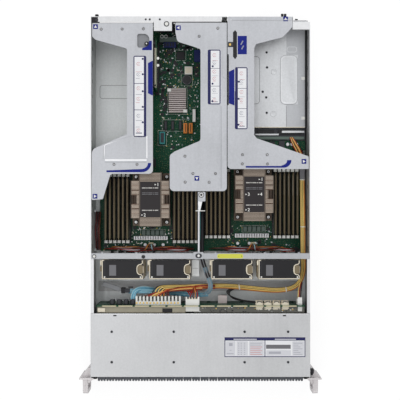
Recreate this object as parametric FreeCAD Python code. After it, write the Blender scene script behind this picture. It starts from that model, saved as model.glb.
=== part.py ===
import FreeCAD, Part
import math
import os

# 2U rack server with its lid off. Millimetres, X across, front towards -Y, Z up.
# Z = 0 is the underside of the chassis, Y = 0 the rear face of the rack ears, X = 0 the middle.

# Rack standard
rack_unit = 44.45
rack_units_high = 2
rack_hole_edge = 6.35
rack_hole_span = 465.1
rack_slot_width = 6.8
rack_slot_length = 10.3
ear_span = 482.6
ear_thick = 3.0
ear_edge_gap = 1.25

# Chassis shell
body_width = 437.0
body_depth = 720.0
body_height = 87.0
sheet = 1.2
wall_flange = 5.0
rear_flange = 10.5
stud_height = 6.5
stud_radius = 3.0
slip = 0.3

# Drive bays
drive_count = 24
drive_pitch = 17.1
divider = 0.5
cage_sheet = 1.0
cage_front = 4.0
cage_depth = 124.0
cover_front = 2.6
cover_depth = 126.0
cover_slot_places = (-170.2, 167.2)
cover_slot_length = 6.0
cover_slot_width = 2.4
cover_slot_inset = 2.8
bezel_reach = 4.0
bezel_depth = 13.0
bezel_gap = 0.4
bezel_ribs = 3
rib_relief = 1.2
carrier_length = 115.0
backplane_place = 142.0
backplane_thick = 2.4
backplane_width = 416.0
socket_length = 12.0

# Handles on the ears
handle_reach = 35.0
handle_bar = 10.0
handle_inset = 5.6
wedge_reach = 14.0
wedge_inset = 5.1
gusset_depth = 18.0
button_radius = 3.2
button_travel = 1.5
button_pitch = 18.0

# Fans
fan_size = 80.0
fan_thick = 35.0
fan_bore = 76.4
fan_middle = 1.2
fan_inner = 61.9
fan_pitch = 94.4
fan_front = 196.6
holder_wall = 1.5
holder_front_gap = 0.2
grip_width = 11.0
grip_height = 9.5
grip_length = 16.0
rotor_hub = 38.0
rotor_gap = 1.0
rotor_length = 25.0
rotor_front_gap = 2.5
blade_count = 7
blade_thick = 1.6
blade_twist = 34.0
shaft_radius = 1.5
stator_depth = 6.0
spoke_width = 3.0

# Cross bar behind the fans, and the wall between the processors
bar_place = 237.2
bar_depth = 11.2
bar_height = 9.0
bar_end_gap = 0.4
post_width = 4.0
strut_thick = 1.2
strut_place = -5.0
strut_riser_gap = 1.5
strut_foot = 19.0
strut_lip = 3.6
hook_length = 6.0
sleeve_width = 8.0

# Motherboard and what stands on it
board_thick = 2.0
board_front = 249.0
board_left = -208.0
board_right = 213.0
board_step_left = -142.0
board_step_right = 101.0
board_left_well = 246.0
board_right_well = 212.0
board_rear_gap = 6.8
memory_pitch = 8.9
memory_per_group = 6
memory_length = 142.0
memory_socket_width = 6.2
memory_socket_height = 9.0
memory_latch_height = 21.0
memory_latch_length = 6.0
memory_card_height = 31.0
memory_card_thick = 1.3
memory_groups = ((-193.4, 266.0), (-53.1, 266.0), (12.9, 276.0), (153.4, 276.0))
sink_width = 78.0
sink_length = 108.0
sink_column = 46.0
sink_wing = 75.0
sink_height = 64.0
sink_base = 5.0
sink_seat = 4.0
fin_pitch = 3.2
fin_thick = 0.8
plate_length = 71.0
plate_thick = 0.8
plate_gap = 0.8
sink_split = 21.5
sink_window_width = 10.5
sink_window_length = 17.5
sink_left = (-100.5, 355.5)
sink_right = (108.0, 366.0)

# Power supplies and their cage
supply_width = 54.5
supply_height = 40.25
supply_length = 206.0
supply_count = 2
supply_gap = 0.5
supply_cage_length = 216.8
pressing_height = 0.6
pressing_round = 6.0
bail_bar = 3.2
bail_width = 37.0
bail_drop = 27.0
bail_offset = -8.0
grille_radius = 14.5
bail_pin = 0.8
pin_play = 0.08

# Risers
riser_sheet = 1.2
riser_top_gap = 0.2
riser_flange = 6.0
riser_card_thick = 1.6
riser_card_bottom_gap = 4.5
slot_pitch = 20.32
slot_window = 13.0
slot_cover_thick = 0.8
slot_connector = 89.0
slot_connector_width = 7.5
slot_connector_reach = 11.0
first_slot_drop = 12.0
riser_middle_front = 346.6
corner_round = 8.0
tab_thick = 0.8
spacer_radius = 1.8

# Corner screws of the coolers
sink_screw_radius = 3.0
sink_screw_height = 9.0
sink_screw_inset = 7.5

# Ports and cable sockets
port_left = -88.0
port_count = 5
port_pitch = 17.0
port_width = 15.0
port_height = 14.0
comb_left = -129.8
comb_right = -39.4
comb_teeth = 13
comb_depth = 17.0
comb_body = 7.0
comb_bottom = 60.0
comb_top = 74.0
round_socket_width = 15.0
round_socket_bottom = 56.0
round_socket_top = 78.0
round_socket_places = (110.4, 127.4, 144.8, 162.0)

# Cable sockets on the back of the backplane: left, right, bottom, top and depth
rear_sockets = ((-181.8, -172.3, 58.0, 72.0, 9.6), (-168.0, -158.5, 58.0, 72.0, 9.6),
                (-154.2, -144.7, 58.0, 72.0, 9.6), (-140.4, -130.9, 58.0, 72.0, 9.6),
                (-28.0, -3.0, 52.0, 72.0, 11.0), (194.0, 203.0, 50.0, 66.0, 12.0),
                (36.0, 54.0, 30.0, 44.0, 16.0))

# Studs under the board: x and the distance behind the front of the tray, or ahead of its rear wall
front_studs = ((-190.0, 270.0), (190.0, 270.0))
rear_studs = ((-190.0, 278.8), (-60.0, 278.8), (60.0, 248.8), (190.0, 238.8),
              (-130.0, 158.8), (-130.0, 28.8), (80.0, 158.8), (80.0, 28.8))

# Chips and connectors near the processors: left, right, front, back and height
front_chips = ((203.0, 212.5, 397.0, 430.0, 30.0), (-3.5, 8.0, 358.0, 372.0, 14.0),
               (-128.0, -92.0, 424.0, 440.0, 3.0), (86.0, 130.0, 440.0, 458.0, 3.0),
               (-132.0, -36.0, 251.5, 256.5, 3.0), (54.0, 150.0, 251.5, 256.5, 3.0))

# Chips and connectors by the rear wall: left, right, two distances ahead of the wall, and height
rear_chips = ((-32.5, -16.5, 104.8, 88.8, 9.0), (-49.5, -32.5, 73.8, 56.8, 2.0),
              (-13.0, 0.0, 78.8, 54.8, 10.0), (-35.0, -27.0, 226.8, 205.8, 12.0),
              (-24.0, -16.0, 226.8, 205.8, 12.0), (-16.0, -10.0, 202.8, 176.8, 9.0),
              (-84.0, -73.0, 248.8, 223.8, 12.0), (-74.6, -68.6, 219.8, 200.8, 10.0),
              (-60.2, -54.2, 219.8, 200.8, 10.0), (-44.5, -38.5, 219.8, 200.8, 10.0),
              (20.0, 60.0, 224.8, 214.8, 12.0), (134.0, 156.0, 228.3, 218.8, 26.0),
              (162.0, 200.0, 228.3, 218.8, 26.0))

# Low heat sinks: left, right, front, back and height
bridge_sink = (-65.5, -29.5, 183.8, 134.8, 13.0)
bridge_fin_count = 12
regulator_sinks = ((-137.0, -67.5, 272.0, 280.0, 14.0), (71.0, 140.6, 277.0, 285.5, 14.0))
regulator_fin_count = 14

# Coils and capacitors beside the regulators, and the button cell
coil_rows = ((-121.0, 282.0), (88.7, 290.0))
coil_count = 5
coil_pitch = 9.4
coil_width = 7.5
coil_depth = 10.0
coil_height = 6.0
capacitor_places = ((-114.0, 262.0), (-95.0, 262.0), (-77.0, 262.0),
                    (77.0, 265.0), (101.0, 265.0), (113.0, 265.0))
capacitor_radius = 3.2
capacitor_height = 8.0
cell_place = (-28.0, 115.8)
cell_radius = 10.0
cell_height = 4.0

# Screw heads on the fixed sheet metal
cover_screw_columns = (-176.5, -53.0, 88.0, 174.5)
cover_screw_rows = (29.2, 89.8)
cage_screw_places = ((29.9, 63.8), (30.8, 94.3), (21.9, 143.8), (29.1, 155.4), (30.1, 186.8))
lip_screw_places = ((-108.8, 6.8), (-80.8, 4.8))
tab_screw_place = (-67.4, 13.8)

# Pressings in the roof of the power supply cage: left, right and two distances ahead of the wall
cage_pressings = ((58.1, 92.6, 169.3, 69.8), (1.5, 15.6, 168.8, 71.8))

# Tab of the rear lip between two risers, and the step in the rear wall above the power supplies
lip_tab_left = -92.8
lip_tab_right = -56.8
lip_tab_reach = 27.6
corner_step = 9.8
corner_flange = 15.0
bar_screw_inset = 5.5

# Cables
harness_radius = 5.0
ribbon_radius = 3.6

# Worked out from the sizes above
half_body = body_width / 2
inner_half = half_body - sheet
lid_seat = body_height - sheet
cage_half = drive_count * drive_pitch / 2 + divider / 2 + slip
cage_top = lid_seat
cage_floor = sheet + cage_sheet
cage_ceiling = cage_top - cage_sheet
drive_height = cage_ceiling - cage_floor - 2 * bezel_gap
carrier_width = drive_pitch - divider - 2 * slip
bezel_width = drive_pitch - bezel_gap
ear_bottom_gap = (rack_units_high * rack_unit - body_height) / 2
slot_heights = (rack_hole_edge - ear_bottom_gap,
                rack_units_high * rack_unit - rack_hole_edge - ear_bottom_gap)
ear_low = ear_edge_gap - ear_bottom_gap
ear_high = rack_units_high * rack_unit - ear_edge_gap - ear_bottom_gap
handle_low = slot_heights[0] + rack_slot_width / 2 + 3.0
handle_high = slot_heights[1] - rack_slot_width / 2 - 3.0
fan_centres = (fan_middle - fan_inner - fan_pitch, fan_middle - fan_inner,
               fan_middle + fan_inner, fan_middle + fan_inner + fan_pitch)
holder_width = fan_size + 2 * (holder_wall + holder_front_gap)
holder_depth = fan_thick + 2 * (holder_wall + holder_front_gap)
holder_back = fan_front + holder_depth
fan_bottom = sheet + slip + holder_wall
fan_middle_height = fan_bottom + fan_size / 2
board_bottom = sheet + stud_height
board_top = board_bottom + board_thick
riser_top = lid_seat - riser_top_gap
riser_under = riser_top - riser_sheet
rear_inside = body_depth - sheet
board_back = rear_inside - board_rear_gap
board_step_front = board_back - board_left_well
board_step_back = board_back - board_right_well
bar_top = lid_seat - slip
supply_cage_right = inner_half - slip
supply_bottom = sheet + slip
supply_top = supply_bottom + supply_height
supply_right = supply_cage_right - cage_sheet - slip
supply_left = supply_right - supply_count * supply_width - (supply_count - 1) * supply_gap
supply_cage_left = supply_left - slip - cage_sheet
supply_cage_top = supply_top + slip + cage_sheet
supply_cage_front = rear_inside - supply_cage_length
supply_back = body_depth + 1.0
rear_lip_left = -204.0
rear_lip_right = 42.0
port_right = port_left + port_count * port_pitch
port_top = board_top + port_height
strut_front = bar_place + bar_depth + slip
strut_back = rear_inside - riser_middle_front - strut_riser_gap - strut_foot
strut_length = strut_back - strut_front
strut_clip = 36.0

# Each riser: its bracket's outline as x, distance ahead of the rear wall and rounding, its rear
# plate, its card and its slots. "toward" says on which side of the card the slots are.
riser_left = {
    "outline": [(-215.4, 12.0, 2), (-94.6, 12.0, 2), (-94.6, 312.2, corner_round),
                (-179.0, 312.2, 6), (-194.2, 362.6, 3), (-216.8, 364.6, 3), (-216.0, 263.8, 12),
                (-157.0, 237.8, 0), (-146.0, 233.8, 6), (-146.0, 62.8, 6), (-209.0, 45.0, 10),
                (-215.4, 38.8, 4)],
    "left": -215.4, "right": -94.6, "back": 12.0, "slots": 3, "rear_low": 0.0,
    "slot_left": -214.0, "slot_right": -96.4, "card": -88.5, "card_front": 143.8,
    "card_back": 43.8, "toward": -1, "flange": -94.6, "flange_front": 298.8,
    "tab": [(-104.2, 151.8, 1), (-94.8, 156.8, 1), (-94.8, 86.8, 1), (-104.2, 91.8, 1)],
    "screws": [(-197.6, 24.2), (-155.8, 24.0), (-113.4, 23.4), (-172.0, 293.4), (-126.2, 293.4)],
    "hole": [(-125.6, 33.4, 4), (-101.6, 33.4, 11), (-101.6, 61.0, 4), (-125.6, 61.0, 4)],
}
riser_middle = {
    "outline": [(-49.8, 11.2, 2), (52.6, 11.2, 2), (52.6, riser_middle_front, corner_round),
                (-61.0, riser_middle_front, 9), (-61.0, 274.8, 8), (-50.8, 267.4, 4), (0.2, 246.0, 6),
                (0.2, 63.8, 5), (-14.0, 58.8, 0), (-46.0, 48.8, 8), (-49.8, 30.8, 5)],
    "left": -49.8, "right": 52.6, "back": 11.2, "slots": 2, "rear_low": 0.0,
    "slot_left": -36.0, "slot_right": 43.4, "card": 46.6, "card_front": 158.8,
    "card_back": 58.8, "toward": -1, "flange": 52.6, "flange_front": 328.8,
    "tab": [(43.6, 118.8, 1), (52.4, 123.8, 1), (52.4, 53.8, 1), (43.6, 58.8, 1)],
    "screws": [(-2.4, 38.4), (34.8, 22.4), (-30.8, 277.0), (-15.0, 311.6), (30.2, 311.8),
               (-30.4, 328.8), (17.4, 329.0)],
}
riser_right = {
    "outline": [(54.0, -0.8, 3), (182.2, -0.8, 1), (183.4, 18.8, 3), (174.6, 29.4, 8),
                (163.6, 40.4, 6), (110.6, 53.8, 4), (107.2, 62.8, 2), (107.2, 235.0, 4),
                (112.0, 241.4, 4), (215.6, 277.4, 3), (216.0, 302.6, 2), (54.0, 302.6, corner_round)],
    "left": 54.0, "right": 182.2, "back": -0.8, "slots": 2, "rear_low": supply_cage_top + slip,
    "slot_left": 60.0, "slot_right": 180.0, "card": 57.0, "card_front": 175.8,
    "card_back": 73.8, "toward": 1, "flange": 54.0, "flange_front": 288.8,
    "tab": [(56.6, 152.8, 1), (69.2, 147.8, 1), (69.2, 85.8, 1), (56.6, 80.8, 1)],
    "screws": [(83.8, 274.0), (133.0, 274.0), (83.4, 292.4), (133.6, 292.4)],
}


def point(x, y, z=0.0):
    return FreeCAD.Vector(x, y, z)


def block(x0, x1, y0, y1, z0, z1):
    """Box between two opposite corners."""
    return Part.makeBox(x1 - x0, y1 - y0, z1 - z0, point(x0, y0, z0))


def pin(radius, length, x, y, z, axis=(0, 0, 1)):
    """Cylinder that starts at a point and runs along an axis."""
    return Part.makeCylinder(radius, length, point(x, y, z), point(*axis))


def join(shapes):
    """One clean solid of shapes that touch or overlap."""
    if len(shapes) == 1:
        return shapes[0]
    return shapes[0].multiFuse(shapes[1:]).removeSplitter()


def rounded_path(corners, radii, closed):
    """Straight runs joined by tangent arcs; a radius of 0 keeps a corner sharp."""
    count = len(corners)
    bends = []
    for index, corner in enumerate(corners):
        radius = radii[index]
        at_end = not closed and index in (0, count - 1)
        if radius == 0 or at_end:
            bends.append((corner, None, corner))
            continue
        back = (corners[index - 1] - corner).normalize()
        ahead = (corners[(index + 1) % count] - corner).normalize()
        half_angle = back.getAngle(ahead) / 2
        reach = radius / math.tan(half_angle)
        middle_line = (back + ahead).normalize()
        middle = corner + middle_line * (radius / math.sin(half_angle) - radius)
        bends.append((corner + back * reach, middle, corner + ahead * reach))
    edges = []
    for index, (start, middle, end) in enumerate(bends):
        if middle is not None:
            edges.append(Part.Arc(start, middle, end).toShape())
        if closed or index < count - 1:
            target = bends[(index + 1) % count][0]
            edges.append(Part.LineSegment(end, target).toShape())
    return Part.Wire(edges)


def outline_plate(outline, bottom, thick):
    """Plate from corners given as x, y and rounding radius."""
    corners = [point(x, y, bottom) for x, y, radius in outline]
    radii = [radius for x, y, radius in outline]
    face = Part.Face(rounded_path(corners, radii, True))
    plate = face.extrude(point(0, 0, thick))
    return plate


def cord_tube(name, route, radius):
    """Round tube along straight runs and tangent arcs as large as the runs allow."""
    corners = [point(*place) for place in route]
    radii = [0.0]
    for index in range(1, len(corners) - 1):
        back = corners[index] - corners[index - 1]
        ahead = corners[index + 1] - corners[index]
        turn = back.getAngle(ahead)
        shorter = min(back.Length, ahead.Length)
        radii.append(0.45 * shorter / math.tan(turn / 2))
    radii.append(0.0)
    path = rounded_path(corners, radii, False)
    length = path.Length
    start = corners[0]
    ring = Part.Wire(Part.Circle(start, corners[1] - start, radius).toShape())
    tube = path.makePipeShell([ring], True, False)
    share = tube.Volume / (math.pi * radius ** 2 * length)
    print(name, "radii", [round(value) for value in radii[1:-1]],
          "length", round(length), "volume share", round(share, 4))
    return tube


def mirrored(shape):
    """The same shape on the other side of the middle plane."""
    return shape.mirror(point(0, 0, 0), point(1, 0, 0))


def from_rear(distance):
    """Y of a place so far ahead of the rear wall."""
    return rear_inside - distance


def placed(corners):
    """Outline corners given ahead of the rear wall, at their place."""
    return [(x, from_rear(ahead), radius) for x, ahead, radius in corners]


def pan_head(x, y, z, radius=3.0, height=1.2):
    """Head of a pan-head screw that stands on a surface."""
    return pin(radius, height, x, y, z)


# ---- chassis and covers ----

def slot_centre(index):
    return riser_under - first_slot_drop - index * slot_pitch


def rear_wall():
    """Rear wall with the windows for risers, ports and power supplies."""
    wall = block(-inner_half, inner_half, rear_inside, body_depth, sheet, lid_seat)
    before = rear_inside - 1
    behind = body_depth + 1
    cuts = [
        block(supply_cage_left + cage_sheet, supply_cage_right - cage_sheet, before, behind,
              sheet, supply_cage_top - cage_sheet),
        block(riser_right["left"] - slip, riser_right["right"] + slip + riser_sheet, before, behind,
              supply_cage_top + slip, lid_seat + 1),
        block(port_left, port_right, before, behind, board_top, port_top),
    ]
    for riser_values in (riser_left, riser_middle):
        low = slot_centre(riser_values["slots"] - 1) - slot_pitch / 2
        cuts.append(block(riser_values["slot_left"], riser_values["slot_right"], before, behind,
                          low, slot_centre(0) + slot_pitch / 2 - 1))
    return wall.cut(cuts[0].multiFuse(cuts[1:]))


def rear_corner():
    """Wall that steps in above the power supplies, and its flange at the top."""
    left = riser_right["right"] + slip + riser_sheet
    low = supply_cage_top + slip
    face = from_rear(corner_step)
    return [block(left, inner_half, face - sheet, face, low, lid_seat),
            block(left, left + sheet, face - sheet, body_depth, low, lid_seat),
            block(left, inner_half, face - corner_flange, face, lid_seat - sheet, lid_seat)]


def chassis_tray():
    """Floor, side walls with their lips, stepped rear wall, and the studs under the board."""
    floor = block(-half_body, half_body, 0, body_depth, 0, sheet)
    sill_half = half_body - wedge_inset - slip
    sill = block(-sill_half, sill_half, -ear_thick, 0, 0, sheet)
    flange_front = cover_front + cover_depth + slip
    flange_back = bar_place - slip
    walls = []
    for side in (-1, 1):
        outer = side * half_body
        inner = side * inner_half
        lip = side * (inner_half - wall_flange)
        walls.append(block(min(outer, inner), max(outer, inner), 0, body_depth, 0, lid_seat))
        walls.append(block(min(inner, lip), max(inner, lip), flange_front, flange_back,
                           lid_seat - sheet, lid_seat))
    lip = block(rear_lip_left, rear_lip_right, body_depth - rear_flange, rear_inside,
                lid_seat - sheet, lid_seat)
    tab = block(lip_tab_left, lip_tab_right, from_rear(lip_tab_reach), body_depth - rear_flange,
                lid_seat - sheet, lid_seat)
    places = list(front_studs) + [(x, from_rear(ahead)) for x, ahead in rear_studs]
    studs = [pin(stud_radius, stud_height, x, y, sheet) for x, y in places]
    notch = block(riser_right["right"] + slip + riser_sheet, half_body + 1, from_rear(corner_step),
                  body_depth + 1, supply_cage_top + slip, body_height)
    shell = join([floor, sill] + walls + [rear_wall(), lip, tab]).cut(notch)
    return join([shell] + rear_corner() + studs)


def front_cover():
    """Fixed cover over the drive bays, with two small slots that the lid hooks into."""
    top = block(-half_body, half_body, cover_front, cover_front + cover_depth,
                lid_seat, body_height)
    slot_back = cover_front + cover_depth - cover_slot_inset
    for x in cover_slot_places:
        top = top.cut(block(x - cover_slot_length / 2, x + cover_slot_length / 2,
                            slot_back - cover_slot_width, slot_back, lid_seat - 1, body_height + 1))
    return top


def drive_cage():
    """Cage of thin sheets that guide the drive carriers: floor, roof, sides and dividers."""
    front = cage_front
    back = cage_front + cage_depth
    parts = [
        block(-inner_half, inner_half, front, back, sheet, cage_floor),
        block(-cage_half - cage_sheet, cage_half + cage_sheet, front, back, cage_ceiling, cage_top),
        block(-cage_half - cage_sheet, -cage_half, front, back, cage_floor, cage_ceiling),
        block(cage_half, cage_half + cage_sheet, front, back, cage_floor, cage_ceiling),
    ]
    wall_front = bezel_depth - bezel_reach + slip
    for index in range(1, drive_count):
        x = (index - drive_count / 2) * drive_pitch
        parts.append(block(x - divider / 2, x + divider / 2, wall_front, back,
                           cage_floor, cage_ceiling))
    return Part.makeCompound(parts)


def backplane():
    """Upright board behind the drives with air slots between its connectors."""
    board = block(-backplane_width / 2, backplane_width / 2, backplane_place,
                  backplane_place + backplane_thick, sheet + slip, lid_seat - sheet - slip)
    slots = []
    for index in range(drive_count // 2):
        x = (2 * index + 1 - drive_count / 2) * drive_pitch
        slots.append(block(x - 3.5, x + 3.5, backplane_place - 1, backplane_place + 4, 8, 36))
    return board.cut(slots[0].multiFuse(slots[1:]))


def backplane_connectors():
    """Drive sockets on the front of the backplane and cable sockets on its back."""
    front = backplane_place
    back = backplane_place + backplane_thick
    parts = []
    for index in range(drive_count):
        x = (index + 0.5 - drive_count / 2) * drive_pitch
        parts.append(block(x - 3, x + 3, front - socket_length, front, 22, 64))
    comb = [block(comb_left, comb_right, back, back + comb_body, comb_bottom, comb_top)]
    tooth = (comb_right - comb_left) / (2 * comb_teeth - 1)
    for index in range(comb_teeth):
        x = comb_left + 2 * index * tooth
        comb.append(block(x, x + tooth, back + comb_body, back + comb_depth,
                          comb_bottom, comb_top))
    parts.append(join(comb))
    for left, right, bottom, top, depth in rear_sockets:
        parts.append(block(left, right, back, back + depth, bottom, top))
    radius = round_socket_width / 2
    for x in round_socket_places:
        plate = block(x, x + round_socket_width, back, back + 4,
                      round_socket_bottom, round_socket_top)
        middle = (round_socket_bottom + round_socket_top) / 2
        parts.append(join([plate, pin(radius, 8, x + radius, back, middle, (0, 1, 0))]))
    return Part.makeCompound(parts)


def ear_flange_slot(z):
    """Cut for one rack slot, rounded at both ends."""
    x = rack_hole_span / 2
    half = (rack_slot_length - rack_slot_width) / 2
    radius = rack_slot_width / 2
    middle = block(x - half, x + half, -ear_thick - 1, 1, z - radius, z + radius)
    ends = [pin(radius, ear_thick + 2, x + end * half, -ear_thick - 1, z, (0, 1, 0))
            for end in (-1, 1)]
    return middle.multiFuse(ends)


def handle_loop():
    """Pull handle: a bent flat bar that stands out from the ear."""
    inner = handle_bar * 0.8
    outside = [(-ear_thick + 0.5, handle_low, 0.0), (-handle_reach, handle_low + 5, 9.0),
               (-handle_reach, handle_high - 5, 9.0), (-ear_thick + 0.5, handle_high, 0.0)]
    inside = [(-ear_thick + 0.5, handle_low + inner, 0.0),
              (-handle_reach + inner, handle_low + inner + 4, 5.0),
              (-handle_reach + inner, handle_high - inner - 4, 5.0),
              (-ear_thick + 0.5, handle_high - inner, 0.0)]
    faces = []
    for loop in (outside, inside):
        corners = [point(ear_span / 2 - handle_inset - handle_bar, y, z) for y, z, radius in loop]
        wire = rounded_path(corners, [radius for y, z, radius in loop], True)
        faces.append(Part.Face(wire))
    bar = faces[0].extrude(point(handle_bar, 0, 0))
    hole = faces[1].extrude(point(handle_bar, 0, 0))
    return bar.cut(hole)


def ear():
    """Right rack ear: flange with two slots, pull handle, control wedge and rear gusset."""
    outer = ear_span / 2
    flange = block(half_body - wedge_inset, outer, -ear_thick, 0, ear_low, ear_high)
    slots = [ear_flange_slot(z) for z in slot_heights]
    wedge_outer = outer - handle_inset - handle_bar - 0.5
    wedge_points = [point(half_body - wedge_inset, -ear_thick, handle_low),
                    point(wedge_outer, -wedge_reach, handle_low),
                    point(wedge_outer, -ear_thick, handle_low)]
    wedge = Part.Face(Part.makePolygon(wedge_points + wedge_points[:1]))
    wedge = wedge.extrude(point(0, 0, handle_high - handle_low))
    gusset_points = [point(half_body, 0, handle_low + 4), point(outer - 2, 0, handle_low + 4),
                     point(half_body + 7, gusset_depth, handle_low + 4),
                     point(half_body, gusset_depth, handle_low + 4)]
    gusset = Part.Face(Part.makePolygon(gusset_points + gusset_points[:1]))
    gusset = gusset.extrude(point(0, 0, handle_high - handle_low - 8))
    body = join([flange, handle_loop(), wedge, gusset])
    return body.cut(slots[0].multiFuse(slots[1:]))


def wedge_frame():
    """Middle of the wedge's sloping face and its outward direction."""
    inner = point(half_body - wedge_inset, -ear_thick)
    outer = point(ear_span / 2 - handle_inset - handle_bar - 0.5, -wedge_reach)
    along = (outer - inner).normalize()
    outward = point(along.y, -along.x)
    return (inner + outer) * 0.5, outward


def button_height(index):
    middle = (handle_low + handle_high) / 2
    return middle + (index - 0.5) * button_pitch


def button_bore(index):
    centre, outward = wedge_frame()
    start = point(centre.x, centre.y, button_height(index)) - outward * (button_travel + 2.5)
    return Part.makeCylinder(button_radius + slip, 8, start, outward)


def button(index):
    """Push button that stands a little proud of the wedge."""
    centre, outward = wedge_frame()
    start = point(centre.x, centre.y, button_height(index)) - outward * 2.2
    return Part.makeCylinder(button_radius, 2.2 + button_travel + 0.3, start, outward)


def ear_right():
    body = ear()
    for index in (0, 1):
        body = body.cut(button_bore(index))
    return body


def screws():
    """Screw heads on the fixed sheet metal."""
    heads = []
    for x in cover_screw_columns:
        for step in cover_screw_rows:
            heads.append(pan_head(x, cover_front + step, body_height, 2.6, 0.7))
    for step, ahead in cage_screw_places:
        heads.append(pan_head(supply_cage_left + step, from_rear(ahead), supply_cage_top, 2.4, 1.0))
    for x, ahead in lip_screw_places:
        heads.append(pan_head(x, from_rear(ahead), lid_seat, 2.4, 0.8))
    heads.append(pan_head(tab_screw_place[0], from_rear(tab_screw_place[1]), lid_seat, 5.4, 1.2))
    heads.append(pan_head(-inner_half + bar_end_gap + bar_screw_inset,
                          bar_place + bar_depth / 2 - 0.5, bar_top, 4.0, 1.2))
    return Part.makeCompound(heads)


# ---- fans ----

def fan_bar():
    """Cross bar behind the fans, carried by end feet and posts between the fans."""
    top = bar_top
    left = -inner_half + bar_end_gap
    right = inner_half - bar_end_gap
    back = bar_place + bar_depth
    parts = [
        block(left, right, bar_place, back, top - sheet, top),
        block(left, right, bar_place, bar_place + sheet, top - bar_height, top - sheet),
        block(left, right, back - sheet, back, top - bar_height, top - sheet),
    ]
    for x in (left, right - sheet):
        parts.append(block(x, x + sheet, bar_place, back, sheet, top - sheet))
    for x in (fan_middle - fan_inner - fan_pitch / 2, -13.0, fan_middle + fan_inner + fan_pitch / 2):
        parts.append(block(x - post_width / 2, x + post_width / 2, bar_place, back,
                           sheet, top - sheet))
    return join(parts)


def fan_grip(x, top):
    """Cut for the finger notch at a fan's upper right corner."""
    right = x + fan_size / 2
    middle = fan_front + holder_depth / 2
    return block(right - grip_width, right + 5, middle - grip_length / 2, middle + grip_length / 2,
                 top - grip_height, top + 5)


def fan_frame(x):
    """Square fan housing with a round bore, and the motor seat on four spokes."""
    half = fan_size / 2
    front = fan_front + holder_wall + holder_front_gap
    back = front + fan_thick
    z = fan_middle_height
    bore = fan_bore / 2
    body = block(x - half, x + half, front, back, z - half, z + half)
    body = body.cut(pin(bore, fan_thick + 2, x, front - 1, z, (0, 1, 0)))
    seat = pin(rotor_hub / 2, stator_depth, x, back - stator_depth, z, (0, 1, 0))
    spokes = []
    for angle in (45, 135, 225, 315):
        spoke = block(rotor_hub / 2 - 2, bore + 1.0, -stator_depth, 0, -spoke_width / 2, spoke_width / 2)
        spoke.rotate(point(0, 0, 0), point(0, 1, 0), angle)
        spoke.translate(point(x, back, z))
        spokes.append(spoke)
    body = join([body, seat] + spokes)
    axle_hole = pin(shaft_radius + slip, stator_depth, x, back - stator_depth - 1, z, (0, 1, 0))
    return body.cut(axle_hole).cut(fan_grip(x, z + half))


def fan_holder(x):
    """Thin carrier round the fan with air windows, open at the top, with a lined finger notch."""
    half = holder_width / 2
    bottom = sheet + slip
    top = fan_middle_height + fan_size / 2
    inner = fan_size / 2 + holder_front_gap
    middle = fan_front + holder_depth / 2
    long = grip_length / 2
    lining_left = x + fan_size / 2 - grip_width + holder_front_gap
    lining_low = top - grip_height + holder_front_gap
    body = block(x - half, x + half, fan_front, holder_back, bottom, top)
    hollow = block(x - inner, x + inner, fan_front + holder_wall, holder_back - holder_wall,
                   fan_bottom, top + 1)
    lining = block(lining_left, x + half, middle - long + holder_front_gap,
                   middle + long - holder_front_gap, lining_low, top)
    notch = block(lining_left + holder_wall, x + half + 1, middle - long + holder_wall,
                  middle + long - holder_wall, lining_low + holder_wall, top + 1)
    window = pin(fan_bore / 2, holder_depth + 2, x, fan_front - 1, fan_middle_height, (0, 1, 0))
    return body.cut(window).cut(hollow.cut(lining)).cut(notch)


def fan_blade(angle):
    """One twisted blade, ruled from hub to tip."""
    hub = rotor_hub / 2 - 1.0
    tip = fan_bore / 2 - rotor_gap
    wires = []
    for radius, lean in ((hub, 26.0), (tip, 26.0 + blade_twist)):
        depth = (rotor_length - 4.0) / 2
        across = depth * math.tan(math.radians(lean))
        half = blade_thick / 2
        corners = [point(-across - half, -depth, radius), point(-across + half, -depth, radius),
                   point(across + half, depth, radius), point(across - half, depth, radius)]
        wires.append(Part.makePolygon(corners + corners[:1]))
    blade = Part.makeLoft(wires, True, True)
    blade.rotate(point(0, 0, 0), point(0, 1, 0), angle)
    return blade


def rotor(x):
    """Fan rotor: hub, blades and the axle that runs in the motor seat."""
    front = fan_front + holder_wall + holder_front_gap + rotor_front_gap
    hub = pin(rotor_hub / 2, rotor_length, 0, -rotor_length / 2, 0, (0, 1, 0))
    axle = pin(shaft_radius, stator_depth - 1.5, 0, rotor_length / 2, 0, (0, 1, 0))
    blades = [fan_blade(360.0 * index / blade_count) for index in range(blade_count)]
    body = join([hub, axle] + blades)
    reach = pin(fan_bore / 2 - rotor_gap, rotor_length + 10, 0, -rotor_length / 2 - 2, 0, (0, 1, 0))
    body = body.common(reach)
    body.translate(point(x, front + rotor_length / 2, fan_middle_height))
    return body


def fan(x):
    return Part.makeCompound([fan_frame(x), fan_holder(x)])


# ---- drives ----

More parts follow.
